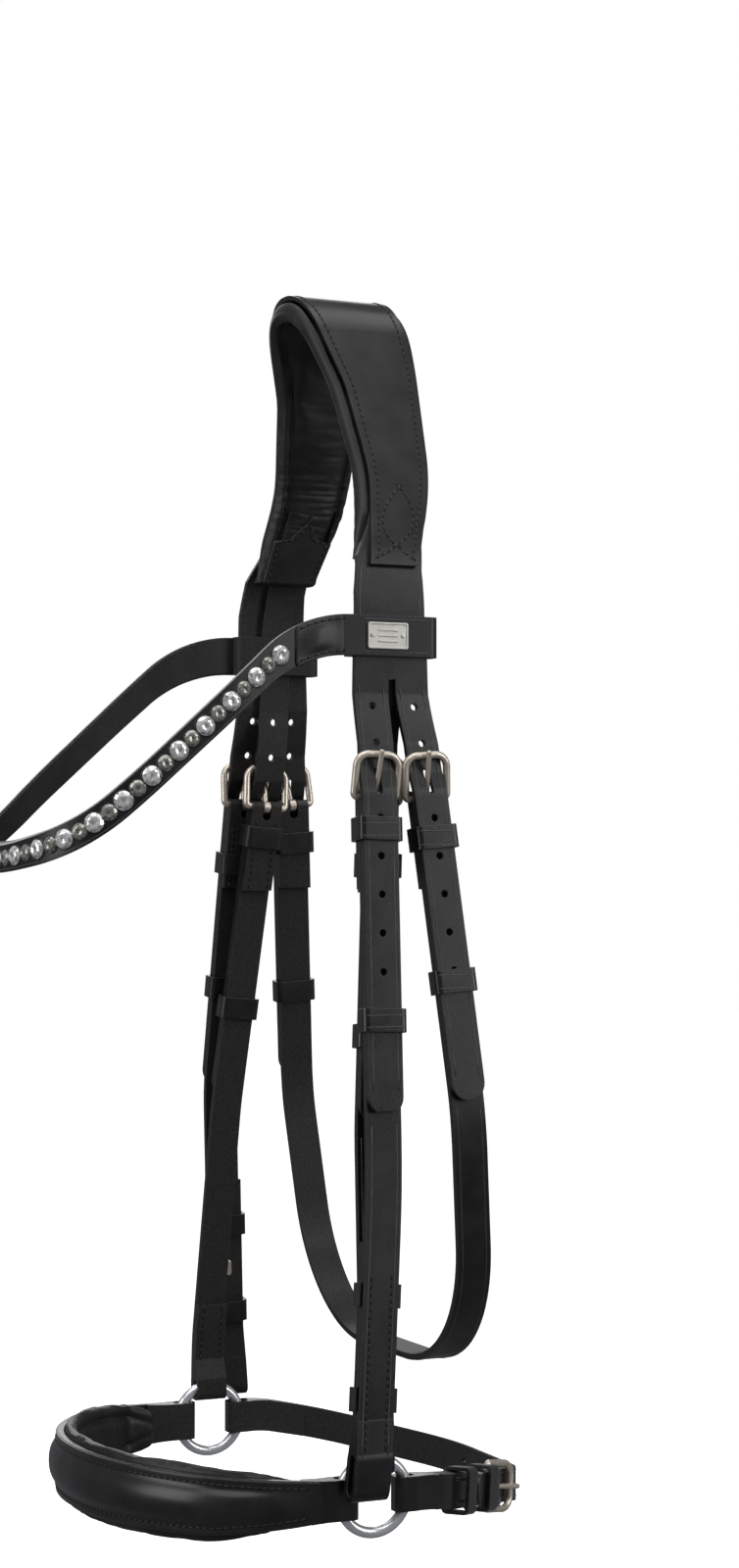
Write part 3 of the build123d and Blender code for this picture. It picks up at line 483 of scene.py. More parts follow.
def inner_side(tree, place, centre, mask):
    """1 where a face looks towards a centre, measured only along the masked axes."""
    normal = add(tree, "TexCoord").outputs["Normal"]
    away = add(tree, "VectorMath", {"operation": "SUBTRACT"}, i0=place, i1=centre).outputs[0]
    flat = add(tree, "VectorMath", {"operation": "MULTIPLY"}, i0=away, i1=mask).outputs[0]
    unit = add(tree, "VectorMath", {"operation": "NORMALIZE"}, i0=flat).outputs[0]
    dot = add(tree, "VectorMath", {"operation": "DOT_PRODUCT"}, i0=unit, i1=normal).outputs["Value"]
    return remap(tree, dot, -0.25, -0.4, 0.0, 1.0)


def leather(name, dark, light, rough, grain=1.0, relief=0.2, inside=None, edge=0.5, coat=0.0):
    """Dyed leather: pebbled grain, mottled colour, paler edges (partly edge wear, partly a painted highlight)
    and a fleshy inner side.
    """
    material, tree, shader, place = new_material(name)
    mottle = noise(tree, place, 75, 5)
    cloud = noise(tree, place, 14, 2)
    tone = mix(tree, remap(tree, mottle, 0.35, 0.7, 0, 1), dark, light)
    pebble = cells(tree, place, 1500 / grain)
    pore = noise(tree, place, 4200 / grain, 2)
    height = maths(tree, "ADD", pebble, maths(tree, "MULTIPLY", pore, 0.35))
    soft = maths(tree, "ADD", remap(tree, cloud, 0.3, 0.7, rough - 0.05, rough + 0.06),
                 remap(tree, mottle, 0.35, 0.7, -0.03, 0.03))
    if inside is not None:
        flesh = inner_side(tree, place, *inside)
        fibre = noise(tree, place, 900, 6, 0.75)
        fleshy = mix(tree, remap(tree, fibre, 0.4, 0.65, 0, 1), FLESH_DARK, FLESH_LIGHT)
        tone = mix(tree, flesh, tone, fleshy)
        soft = add(tree, "Mix", i0=flesh, i2=soft, i3=0.72).outputs[0]
        fuzz = maths(tree, "MULTIPLY", fibre, 3.0)
        height = add(tree, "Mix", i0=flesh, i2=height, i3=fuzz).outputs[0]
    rounded = add(tree, "Bevel", {"samples": 4}, Radius=0.7 * MM).outputs[0]
    # Paler rounded edges: partly edge wear, partly a painted highlight where the edges would catch the light.
    if edge:
        true = add(tree, "NewGeometry").outputs["Normal"]
        turned = add(tree, "VectorMath", {"operation": "DOT_PRODUCT"}, i0=rounded, i1=true).outputs["Value"]
        edge_wear_and_highlight = remap(tree, turned, 0.985, 0.8, 0.0, edge)
        patchy_wear_and_highlight = maths(tree, "MULTIPLY", edge_wear_and_highlight, remap(tree, noise(tree, place, 220), 0.35, 0.6, 0.35, 1.0))
        tone = mix(tree, patchy_wear_and_highlight, tone, WORN_EDGE_AND_HIGHLIGHT)
    pebbled = bump(tree, height, relief, 0.16 * MM, rounded)
    feed(tree, shader, Base_Color=tone, Roughness=soft, Normal=pebbled, IOR=1.45,
         Coat_Weight=coat, Coat_Roughness=0.24)
    return material


def metal(name, colour, rough, brush, stain, metallic=0.8):
    """Plated metal with fine polishing marks and a little darkening."""
    material, tree, shader, place = new_material(name)
    long_marks = add(tree, "VectorMath", {"operation": "MULTIPLY"}, i0=place, i1=(900, 900, 140)).outputs[0]
    marks = noise(tree, long_marks, 3.0)
    dull = noise(tree, place, 160, 4)
    darker = tuple(c * stain for c in colour)
    tone = mix(tree, remap(tree, dull, 0.3, 0.7, 0, 1), darker, colour)
    soft = remap(tree, dull, 0.3, 0.7, rough + 0.05, rough - 0.03)
    rounded = add(tree, "Bevel", {"samples": 4}, Radius=0.5 * MM).outputs[0]
    brushed = bump(tree, marks, brush, 0.05 * MM, rounded)
    feed(tree, shader, Base_Color=tone, Roughness=soft, Normal=brushed, Metallic=metallic)
    return material


def crystal(name, dark, bright, tint):
    """Foil-backed cut crystal: each facet takes its own brightness from the facet attribute, a painted
    reflection and glint; the coloured cell flecks are painted fire.
    """
    material, tree, shader, place = new_material(name)
    facet = add(tree, "Attribute", {"attribute_name": "facet"}).outputs["Fac"]
    painted_fire_flecks = cells(tree, place, 620, "F1")
    tone = mix(tree, facet, dark, bright)
    hue = mix(tree, remap(tree, painted_fire_flecks, 0.1, 0.6, 0, 1), tint, (1.0, 0.97, 0.93))
    product = add(tree, "Mix", {"data_type": "RGBA", "blend_type": "MULTIPLY"}, i0=0.55, i6=tone, i7=hue)
    feed(tree, shader, Base_Color=product.outputs[2], Metallic=0.35, Coat_Weight=1.0, Coat_Roughness=0.02,
         Roughness=remap(tree, facet, 0, 1, 0.16, 0.05))
    return material


def plain(name, dark, light, rough, scale):
    material, tree, shader, place = new_material(name)
    feed(tree, shader, Base_Color=mix(tree, noise(tree, place, scale), dark, light), Roughness=rough)
    return material


DARK = (0.0048, 0.0048, 0.0055)
LIGHT = (0.0122, 0.0122, 0.0136)
HANG = ((0, 0, 0), (1, 0, 0))
CROWN = ((0, 0, -0.1), (1, 0, 1))
BROW = ((0, -0.07, 0), (1, 1, 0))
HOOP = ((0, -0.02, 0), (1, 1, 0))
THROAT = ((0, 0, -0.36), (1, 0, 1))
STRAP = leather("strap_leather", DARK, LIGHT, 0.33, inside=HANG, edge=0.75, coat=0.12)
CROWN_STRAP = leather("crown_leather", DARK, (0.0135, 0.0132, 0.0125), 0.33,
                      inside=CROWN, edge=0.75, coat=0.14)
THROAT_STRAP = leather("throat_leather", DARK, (0.015, 0.0146, 0.0136), 0.35,
                       inside=THROAT, edge=0.7, coat=0.15)
BROW_STRAP = leather("brow_leather", DARK, LIGHT, 0.42, inside=BROW, edge=0.8, coat=0.08)
HOOP_STRAP = leather("hoop_leather", DARK, LIGHT, 0.34, inside=HOOP, edge=0.7, coat=0.35)
KEEPER = leather("keeper_leather", DARK, (0.015, 0.0146, 0.0146), 0.3, edge=0.8, coat=0.25)
LINING = leather("lining_leather", (0.009, 0.0085, 0.008), (0.02, 0.019, 0.0175), 0.58,
                 grain=0.9, relief=0.35, edge=0.3)
NAPPA = leather("padding_nappa", (0.008, 0.0078, 0.0075), (0.021, 0.02, 0.0185), 0.47,
                grain=1.3, relief=0.3, edge=0.0)
NOSE = leather("nose_leather", (0.0085, 0.0085, 0.009), (0.0185, 0.0185, 0.0195), 0.31,
               relief=0.12, edge=0.5, coat=0.12)
THREAD = plain("black_thread", (0.006, 0.006, 0.0065), (0.026, 0.025, 0.025), 0.42, 2600)
# Awl holes: near-black painted shade.
HOLE_SHADE = plain("awl_hole_painted_shade", (0.001, 0.001, 0.001), (0.003, 0.003, 0.003), 0.9, 900)
# Pale crease colour: a painted highlight along the welts.
CREASE_HIGHLIGHT = plain("crease_painted_highlight", (0.028, 0.027, 0.0265), (0.12, 0.117, 0.113), 0.34, 260)
NICKEL = metal("satin_nickel", (0.80, 0.71, 0.61), 0.30, 0.03, 0.82, 0.72)
CHROME = metal("chrome", (0.90, 0.91, 0.94), 0.20, 0.02, 0.95, 0.68)
PLATE = metal("plate_nickel", (0.66, 0.64, 0.60), 0.38, 0.2, 0.86)
# Stone colours run from dark to bright facets: painted reflection.
CLEAR = crystal("crystal_clear", (0.12, 0.125, 0.13), (1.0, 1.0, 1.0), (0.90, 0.95, 1.0))
SMOKE = crystal("crystal_smoke", (0.02, 0.02, 0.02), (0.42, 0.41, 0.38), (0.85, 0.88, 0.85))


def dress_frame():
    """Gives every CAD node its material."""
    by_slot = {"ring_chrome": CHROME, "buckle_nickel": NICKEL, "plate_nickel": PLATE, "crystal_clear": CLEAR,
               "crystal_smoke": SMOKE, "padding_leather": NAPPA, "lining_leather": LINING,
               "strap_leather": STRAP}
    special = {"headpiece": CROWN_STRAP, "crown_cover": CROWN_STRAP, "noseband_headstrap": CROWN_STRAP,
               "throatlatch": THROAT_STRAP, "browband": BROW_STRAP, "noseband_front": HOOP_STRAP,
               "chin_strap": HOOP_STRAP, "chin_buckle_strap": HOOP_STRAP}
    for node, piece in NODES.items():
        chosen = special.get(node, by_slot[SLOT_OF[node]])
        if "keeper" in node or "runner" in node:
            chosen = KEEPER
        piece.data.materials.clear()
        piece.data.materials.append(chosen)


dress_frame()


# ---- padding and raised leather ------------------------------------------------------------
PUFF_PRESSURE = 1.6
PUFF_FRAMES = 16
HELD_ABOVE = -1.0 * MM          # the simulation moves only points below this level
CROWN_CENTRE = Vector((0, 0, -0.105))
NOSE_CENTRE = Vector((0, -0.03, (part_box("noseband_front")[0].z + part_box("noseband_front")[1].z) / 2))
PATCH_TALL = 37 * MM
PATCH_PEAK = 11 * MM


class Section:
    """A pad's cross-section: a roll along each edge and a cushion between them."""

    def __init__(self, roll_wide, roll_top, roll_low, middle_top, middle_low):
        self.roll_wide, self.roll_top = roll_wide, roll_top
        self.middle_top, self.middle_low = middle_top, middle_low
        self.level, self.high = (roll_top + roll_low) / 2, (roll_top - roll_low) / 2

    def ring(self, place, shelves, samples=56):
        """Closed ring of points. shelves are how far each edge's roll stays high inwards."""
        half = place.width / 2
        points = []
        for step, angle in enumerate(turns(samples)):
            share = abs(math.cos(angle)) ** 0.8
            x = math.copysign(half * share, math.cos(angle))
            shelf = shelves[0] if x < 0 else shelves[1]
            level = self.top(half - abs(x), shelf) if math.sin(angle) > 0 else self.under(half - abs(x), half)
            if step in (0, samples // 2):
                level = self.level
            points.append(place.at(0.5) + place.across * x + place.out * level)
        return points

    def bulge(self, inset):
        """Height share of a roll at a distance from the pad's edge."""
        away = 1 - inset / (self.roll_wide / 2)
        return math.sqrt(max(1 - away * away, 0))

    def top(self, inset, shelf):
        if inset < self.roll_wide / 2:
            return self.level + self.high * self.bulge(inset)
        if inset < shelf:
            return self.roll_top
        return max(self.middle_top, self.roll_top - (inset - shelf) * 2.8)

    def under(self, inset, half):
        seam = self.middle_low * 0.45
        if inset < self.roll_wide:
            return min(self.level - self.high * self.bulge(inset), self.level)
        share = (inset - self.roll_wide) / max(half - self.roll_wide, 1e-6)
        return seam + (self.middle_low - seam) * (1 - (1 - min(share, 1)) ** 4) ** 0.5


def end_scale(index, last, reach=3):
    """How far a pad has closed up near its two ends."""
    away = min(index, last - index)
    if away >= reach:
        return 1.0
    return math.sqrt(1 - (1 - (away + 0.35) / (reach + 0.35)) ** 2)


def blend(value, start, end):
    """0 before start, 1 after end, smooth between."""
    share = min(max((value - start) / (end - start), 0.0), 1.0)
    return share * share * (3 - 2 * share)


def wrinkle(piece, places, depth, seed):
    """Cross folds of lining leather where a pad bends, deepest on the inner face between the rolls."""
    mesh = piece.data
    phase = random.Random(seed)
    waves = [(phase.uniform(500, 1700), phase.uniform(0, math.tau), phase.uniform(-0.9, 0.9))
             for _ in range(6)]
    middles = [p.at(0.5) for p in places]
    lengths = lengths_along(middles)
    for vertex in mesh.vertices:
        index = min(range(len(middles)), key=lambda i: (middles[i] - vertex.co).length_squared)
        place = places[index]
        rel = vertex.co - middles[index]
        below = -rel.dot(place.out)
        if below < 1.2 * MM:
            continue
        x = rel.dot(place.across)
        inward = max(0.0, 1 - (abs(x) / (place.width * 0.5)) ** 4)
        tangent = place.across.cross(place.out)
        along = lengths[index] + rel.dot(tangent)
        wave = sum(math.sin(along * w + p + x * 160 * t) for w, p, t in waves) / 3.0
        patch = 0.5 + 0.5 * math.sin(along * 95 + seed)
        fold = 1 - 2 * abs(math.sin(wave * 1.6)) ** 0.6
        vertex.co += place.out * (depth * fold * inward * (0.35 + 0.65 * patch))
    mesh.update()


def smooth_piece(piece):
    """Subdivides a piece's mesh once. The modifier stays on and smooths it once more."""
    modifier = piece.modifiers.new("smooth", "SUBSURF")
    modifier.levels = modifier.render_levels = 1
    graph = bpy.context.evaluated_depsgraph_get()
    done = bpy.data.meshes.new_from_object(piece.evaluated_get(graph))
    old = piece.data
    piece.data = done
    bpy.data.meshes.remove(old)


def stuffed(piece, places, cap):
    """Puffs a pad with a short cloth simulation: its outer side stays, the rest moves at most by cap."""
    rest = [v.co.copy() for v in piece.data.vertices]
    group = piece.vertex_groups.new(name="held")
    for index in range(len(rest)):
        if in_front_of(places, rest[index], HELD_ABOVE):
            group.add([index], 1.0, "REPLACE")
    scene = bpy.context.scene
    scene.frame_set(1)
    cloth = piece.modifiers.new("cloth", "CLOTH")
    cloth.settings.quality = 5
    cloth.settings.mass = 0.3
    cloth.settings.vertex_group_mass = "held"
    cloth.settings.use_pressure = True
    cloth.settings.uniform_pressure_force = PUFF_PRESSURE
    cloth.settings.shrink_min = -0.025
    cloth.settings.effector_weights.gravity = 0
    cloth.point_cache.frame_start, cloth.point_cache.frame_end = 1, PUFF_FRAMES
    for number in range(1, PUFF_FRAMES + 1):
        scene.frame_set(number)
    graph = bpy.context.evaluated_depsgraph_get()
    moved = piece.evaluated_get(graph).to_mesh()
    places = [v.co.copy() for v in moved.vertices]
    piece.modifiers.remove(cloth)
    piece.vertex_groups.remove(group)
    scene.frame_set(1)
    for vertex, start, end in zip(piece.data.vertices, rest, places):
        shift = end - start
        if shift.length > cap:
            shift *= cap / shift.length
        vertex.co = start + shift
    piece.data.update()


def top_drop(point):
    """How far a point lies below the top of the crown, in millimetres."""
    return (CAD_BOX[1].z - point.z) / MM


def crown_pad():
    """The poll cushion: soft rolls that come up to the cover's edges, wrinkled lining between."""
    places = arch("crown_padding", CROWN_CENTRE, -112, 112, 150)
    cover = arch("crown_cover", CROWN_CENTRE, -122, 122, 150)
    shape, last = Shape(), len(places) - 1
    rows = []
    for index, place in enumerate(places):
        full = end_scale(index, last)
        high = 1 - blend(top_drop(place.at(0.5)), 104, 120)
        beside = min(cover, key=lambda c: (c.at(0.5) - place.at(0.5)).length_squared)
        shelves = [max(beside.low.y - place.low.y, 0) + 0.8 * MM,
                   max(place.high.y - beside.high.y, 0) + 0.8 * MM]
        roll_low, middle_low = (-2.6 - 2.0 * full) * MM, (-2.0 - 3.4 * full) * MM
        form = Section(5.6 * MM, 5.2 * high * MM, roll_low, -0.1 * MM, middle_low)
        rows.append(form.ring(place, shelves))
    shape.grid(rows)
    piece = shape.build("crown_cushion", [NAPPA], "root", "padding_leather")
    stuffed(piece, places, 0.9 * MM)
    smooth_piece(piece)
    wrinkle(piece, places, 0.42 * MM, 3)
    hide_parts("crown_padding")
    piping("crown_cushion_piping", places, 5.9 * MM, 0.75 * MM, -2.6 * MM)
    return places


def piping(name, places, inset, radius, level):
    """A fine corded seam beside each edge roll of the cushion."""
    shape = Shape()
    for edge in ("low", "high"):
        rows = []
        for place in places[3:-3]:
            share = inset / place.width
            middle = place.at(share if edge == "low" else 1 - share) + place.out * level
            rows.append([middle + place.across * (radius * math.cos(a)) + place.out * (radius * math.sin(a))
                         for a in turns(8)])
        shape.grid(rows)
    shape.build(name, [KEEPER], "root", "padding_leather")


def in_front_of(places, point, level):
    """Whether a point lies further out than a level of its nearest station."""
    place = min(places, key=lambda p: (p.at(0.5) - point).length_squared)
    return (point - place.at(0.5)).dot(place.out) > level


def run_out(places, steps, stride, sink, wide):
    """Stations carried on past both ends of a pad, sinking inwards and narrowing."""
    first, last = places[0], places[-1]
    before, after = [], []
    for step in range(1, steps + 1):
        share = step / steps
        for end, found in ((first, before), (last, after)):
            half = (end.width + (wide - end.width) * share) / 2
            middle = end.at(0.5) + REAR * (stride * step) - end.out * (sink * share)
            found.append(Station(middle - end.across * half, middle + end.across * half, end.out))
    return list(reversed(before)) + places + after


def nose_pad():
    """The noseband's cushion, behind its leather, tapering out towards the rings."""
    places = hoop("noseband_padding", NOSE_CENTRE, -66, 66, 100)
    places = run_out(places, 5, 2.4 * MM, 3.2 * MM, 17 * MM)
    shape, last = Shape(), len(places) - 1
    rows = []
    for index, place in enumerate(places):
        full = blend(min(index, last - index), -1, 9)
        form = Section(6.0 * MM, 0.0, (-2.2 - 4.2 * full) * MM, -0.1 * MM, (-1.8 - 5.6 * full) * MM)
        rows.append(form.ring(place, (3 * MM, 3 * MM)))
    shape.grid(rows)
    piece = shape.build("noseband_cushion", [NAPPA], "noseband_front", "padding_leather")
    stuffed(piece, places, 0.8 * MM)
    smooth_piece(piece)
    wrinkle(piece, places, 0.16 * MM, 5)
    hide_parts("noseband_padding")


def raised(name, places, flange, crown, base, body, slot, material, fade):
    """Leather stretched over a core: flat stitched flanges and a crowned middle."""
    shape, rows, last = Shape(), [], len(places) - 1
    profile = [-1, -0.985, -0.9, -0.82, -0.76, -0.7, -0.6, -0.45, -0.25, 0,
               0.25, 0.45, 0.6, 0.7, 0.76, 0.82, 0.9, 0.985, 1]
    for index, place in enumerate(places):
        full = blend(min(index, last - index), 0, fade)
        half = place.width / 2 - 0.25 * MM
        inner = (half - flange) / half
        top, under = [], []
        for u in profile:
            rise = base
            if abs(u) > 0.99:
                rise = base * 0.35
            elif abs(u) < inner:
                rise = base - 0.25 * MM * full + crown * full * (1 - (abs(u) / inner) ** 2.4) ** 0.62
            top.append(place.at(0.5) + place.across * (u * half) + place.out * rise)
            under.append(place.at(0.5) + place.across * (u * half) - place.out * 0.3 * MM)
        rows.append(top + list(reversed(under)))
    shape.grid(rows)
    piece = shape.build(name, [material], body, slot)
    smooth_piece(piece)
    return piece


def patch_share(travelled):
    """How wide an end patch is at a distance from the cushion's end: full, then a narrow peak."""
    left = PATCH_TALL - travelled
    return 1.0 if left > PATCH_PEAK else max(0.56 * left / PATCH_PEAK, 0.02)


def end_patch(name, places, side):
    """The flat stitched piece, peaked like a roof, that closes the cushion's lining at one end."""
    ordered = places if side < 0 else list(reversed(places))
    travelled, shape, rows, line_a, line_b = 0.0, Shape(), [], [], []
    for index, place in enumerate(ordered[1:-1]):
        travelled += (place.at(0.5) - ordered[index].at(0.5)).length
        half = (place.width / 2 - 2.6 * MM) * patch_share(travelled)
        inner = -place.out
        level = place.at(0.5) + inner * 5.9 * MM
        edge = [level - place.across * half, level + place.across * half]
        profile = [edge[0].lerp(edge[1], step / 12) for step in range(13)]
        face = [p + inner * 0.7 * MM for p in profile]
        rows.append(face + [p - inner * 2.5 * MM for p in reversed(profile)])
        inset = min(2.2 * MM, half * 0.5)
        line_a.append(level + place.across * (half - inset))
        line_b.append(level - place.across * (half - inset))
        if travelled > PATCH_TALL:
            break
    shape.grid(rows)
    piece = shape.build(name, [NAPPA], "root", "padding_leather")
    facing = [-place.out for place in ordered[1:1 + len(line_a)]]
    rows = [(line[2:], facing[2:]) for line in (line_a, line_b)]
    stitch_rows(f"{name}_stitching", "crown_padding", rows, target=mesh_tree(piece.data))


CROWN_PLACES = crown_pad()
end_patch("near_crown_patch", CROWN_PLACES, 1)
end_patch("far_crown_patch", CROWN_PLACES, -1)
nose_pad()


def nose_leather():
    places = hoop("noseband_front", NOSE_CENTRE, -84, 84, 120)
    places = [p for p in places if p.at(0.5).y < -0.047]
    piece = raised("noseband_raised_leather", places, 4.6 * MM, 3.4 * MM, 0.9 * MM, "noseband_front",
                   "strap_leather", NOSE, 16)
    rows = both_edges(places, 3.1 * MM, 0.035, 0.965)
    stitch_rows("noseband_stitching", "noseband_front", rows, target=mesh_tree(piece.data))


nose_leather()


# ---- crown cover ---------------------------------------------------------------------------
def on_strap(places, along, across):
    """A point on a strap, from its distance along in metres and across from the middle."""
    middles = [p.at(0.5) for p in places]
    travelled = 0.0
    for index in range(len(middles) - 1):
        leg = (middles[index + 1] - middles[index]).length
        if travelled + leg >= along or index == len(middles) - 2:
            share = (along - travelled) / leg
            place = places[index]
            return middles[index].lerp(middles[index + 1], share) + place.across * across, place.out
        travelled += leg


def leaf(places, from_end, side):
    """A pointed leaf with crossed tails and a stitched straight end, near one end of the cover."""
    ordered = places if side < 0 else list(reversed(places))
    half, tall, straight = 7.4 * MM, 29 * MM, 6 * MM
    lines = []
    for hand in (-1, 1):
        points, facing = [], []
        for step in range(25):
            t = step / 24
            bow = math.sin(math.pi * t ** 0.85) ** 0.85
            point, out = on_strap(ordered, from_end + tall * t + straight, hand * half * bow)
            points.append(point)
            facing.append(out)
        lines.append((points, facing))
        tail, tail_out = [], []
        for step in range(8):
            t = step / 7
            along, across = from_end + straight * (1 - t ** 0.7), hand * (0.6 * MM + 7.2 * MM * t)
            point, out = on_strap(ordered, along, across)
            tail.append(point)
            tail_out.append(out)
        lines.append((tail, tail_out))
    return lines


def crown_stitching():
    places = arch("crown_cover", CROWN_CENTRE, -122, 122, 140)
    rows = both_edges(places, 3.4 * MM, 0.012, 0.988)
    rows += leaf(places, 3.0 * MM, -1) + leaf(places, 3.0 * MM, 1)
    stitch_rows("crown_stitching", "crown_cover", rows)


crown_stitching()


# ---- straps --------------------------------------------------------------------------------
STUDDED = {"near": 428, "far": 421}     # drop where each cheekpiece's stitched lower part starts


def height_of(drop):
    """Height of a point that far below the top of the crown, in millimetres."""
    return CAD_BOX[1].z - drop * MM


def strap_lines():
    """Crease lines beside the edges of the hanging straps, and their stitched ends."""
    for side in SIDES:
        cheek = f"{side}_cheekpiece"
        runs = [("headstrap", "headpiece", 128, 165, -0.003, 2.0),
                ("cheek_billet", "headpiece", 180, 352, -0.0125, 2.2),
                ("throat_billet", "headpiece", 180, 347, 0.0075, 2.2),
                ("cheekpiece", cheek, 366, 500, None, 2.2)]
        for name, node, top, low, hint, inset in runs:
            places = hanging(node, side, height_of(top), height_of(low), int((low - top) / 5), hint)
            lines = both_edges(places, inset * MM)
            creases(f"{side}_{name}_creases", node, lines)
        low = hanging(cheek, side, height_of(STUDDED[side]), height_of(STUDDED[side] + 68))
        rows = both_edges(low, 3.4 * MM)
        stitch_rows(f"{side}_cheek_stitching", cheek, rows)


def turn_back_stitches():
    """Rows that close the folds at the buckles and the rings, seen on the inner faces."""
    for side in SIDES:
        cheek, hanger = f"{side}_cheekpiece", f"{side}_noseband_hanger"
        fold = hanging(hanger, side, height_of(236), height_of(265), 10)
        loop = hanging(hanger, side, height_of(467), height_of(494), 10)
        cheek_fold = hanging(cheek, side, height_of(236), height_of(265), 10)
        for name, node, places in (("cheek_fold", cheek, cheek_fold), ("hanger_fold", hanger, fold),
                                   ("hanger_loop", hanger, loop)):
            rows = inwards(both_edges(places, 2.6 * MM))
            stitch_rows(f"{side}_{name}_stitching", node, rows, reach=14 * MM)
        outside = both_edges(loop, 2.6 * MM)
        stitch_rows(f"{side}_hanger_loop_outer_stitching", hanger, outside)
        places = hanging(hanger, side, height_of(372), height_of(462), 20)
        lines = both_edges(places, 2.0 * MM)
        creases(f"{side}_hanger_creases", hanger, lines)


def keeper_lines():
    """Two creases on the outer face of the keepers and runners, but not at the chin and the studs."""
    for node in NODES:
        if "keeper" not in node and "runner" not in node or "chin" in node or "stud" in node:
            continue
        low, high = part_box(node)
        side = "near" if node.startswith("near") else "far"
        tilt = 1.2 * MM
        places = hanging(node, side, high.z - 2.2 * MM - tilt, low.z + 2.2 * MM + tilt, 2)
        lines = []
        for place in places:
            lines.append(([place.at(0.06 + 0.088 * step) for step in range(11)], [place.out] * 11))
        creases(f"{node}_creases", node, lines)


def throat_lines():
    centre = Vector((0, 0, height_of(380)))
    places = arch("throatlatch", centre, 78, 282, 110)
    creases("throatlatch_creases", "throatlatch", both_edges(places, 2.2 * MM))


def chin_lines():
    """Edge creases and end stitching of the two chin straps."""
    centre = Vector((0, 0.015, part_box("chin_strap")[0].z + 14 * MM))
    for node, first, last in (("chin_strap", 130, 268), ("chin_buckle_strap", 92, 128)):
        places = hoop(node, centre, first, last)
        creases(f"{node}_creases", node, both_edges(places, 1.9 * MM))
        end = [p for p in places if p.at(0.5).y < 0.028]
        if len(end) > 2:
            rows = both_edges(end, 3.0 * MM)
            stitch_rows(f"{node}_stitching", node, rows)


strap_lines()
turn_back_stitches()
keeper_lines()
throat_lines()
chin_lines()


# ---- browband ------------------------------------------------------------------------------
BROW_CENTRE = Vector((0, -0.08, height_of(205)))


def facet_stone(shape, centre, out, radius, painted_glint_levels, tall):
    """A round cut stone: flat back, girdle, crown facets, and a shallow star sunk in the table."""
    twist = random.uniform(0, math.tau)

    def ring(count, share, rise, offset):
        angles = [twist + math.tau * (i + offset) / count for i in range(count)]
        return around(centre, out, radius, share, out * rise, angles)

    rings = [ring(16, 1.0, 0, 0), ring(16, 1.0, tall * 0.35, 0), ring(8, 0.72, tall * 0.85, 0.25),
             ring(8, 0.48, tall, 0.5), ring(8, 0.2, tall * 0.86, 0.75)]
    starts = []
    for points in rings:
        starts.append(len(shape.points))
        shape.points += points
    shape.points.append(centre + out * tall * 0.8)
    tip = len(shape.points) - 1

    # Each face gets a random brightness within its range: painted reflection and glint.
    def put(corners, low, high):
        shape.face(corners)
        painted_glint_levels.append(random.uniform(low, high))

    put(tuple(starts[0] + i for i in reversed(range(16))), 0.2, 0.3)
    for i in range(16):
        j = (i + 1) % 16
        put((starts[0] + i, starts[0] + j, starts[1] + j, starts[1] + i), 0.1, 0.5)
    for i in range(8):
        j = (i + 1) % 8
        a, b, c = starts[1] + 2 * i, starts[1] + (2 * i + 1) % 16, starts[1] + (2 * i + 2) % 16
        p, q = starts[2] + i, starts[2] + j
        put((a, b, p), 0.2, 1.0)
        put((b, c, p), 0.35, 1.0)
        put((c, q, p), 0.1, 0.9)
        r, s = starts[3] + i, starts[3] + j
        put((p, q, r), 0.45, 1.0)
        put((q, s, r), 0.55, 1.0)
        t, u = starts[4] + i, starts[4] + j
        put((r, s, t), 0.5, 1.0)
        put((s, u, t), 0.15, 0.9)
        put((t, u, tip), 0.0, 0.55)


def stones(kind, material):
    """Cut stones on the places of the CAD stones."""
    node = f"crystals_{kind}"
    mesh = NODES[node].data
    shape, painted_glint_levels = Shape(), []
    for island in islands_of(mesh):
        points = [mesh.vertices[i].co for i in island]
        centre = sum(points, Vector()) / len(points)
        near, normal, _, _ = tree_of("browband").find_nearest(centre)
        out = (centre - near).normalized()
        if out.dot(normal) < 0:
            out = -out
        radius = max(((p - centre) - out * (p - centre).dot(out)).length for p in points)
        lowest = min((p - centre).dot(out) for p in points)
        highest = max((p - centre).dot(out) for p in points)
        tall = (highest - lowest) * 1.05 + 0.2 * MM
        facet_stone(shape, centre + out * (lowest - 0.2 * MM), out, radius, painted_glint_levels, tall)
        cup(CUPS, centre + out * (lowest - 0.25 * MM), out, radius)
    piece = shape.build(f"stones_{kind}", [material], "browband", f"crystal_{kind}", smooth=False)
    # Per-face painted reflection brightness, read by the crystal material.
    facet = piece.data.attributes.new("facet", "FLOAT", "FACE")
    facet.data.foreach_set("value", painted_glint_levels)
    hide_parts(node)


def cup(shape, centre, out, radius):
    """The rim of leather pressed up round a set stone."""
    shape.grid([around(centre, out, radius, share, out * rise * MM, turns(20))
                for share, rise in ((1.0, 0.0), (1.05, 0.5), (1.1, 0.45), (1.16, 0.0))], ends=False)


def islands_of(mesh):
    """Groups of vertices that touch, by place rather than by index."""
    groups = Groups()
    keys = [tuple(round(c, 6) for c in v.co) for v in mesh.vertices]
    for polygon in mesh.polygons:
        first = keys[polygon.vertices[0]]
        for index in polygon.vertices[1:]:
            groups.join(keys[index], first)
    islands = {}
    for index, key in enumerate(keys):
        islands.setdefault(groups.root(key), []).append(index)
    return list(islands.values())


CUPS = Shape()
stones("clear", CLEAR)
stones("smoke", SMOKE)
CUPS.build("stone_cups", [NOSE], "browband", "strap_leather")


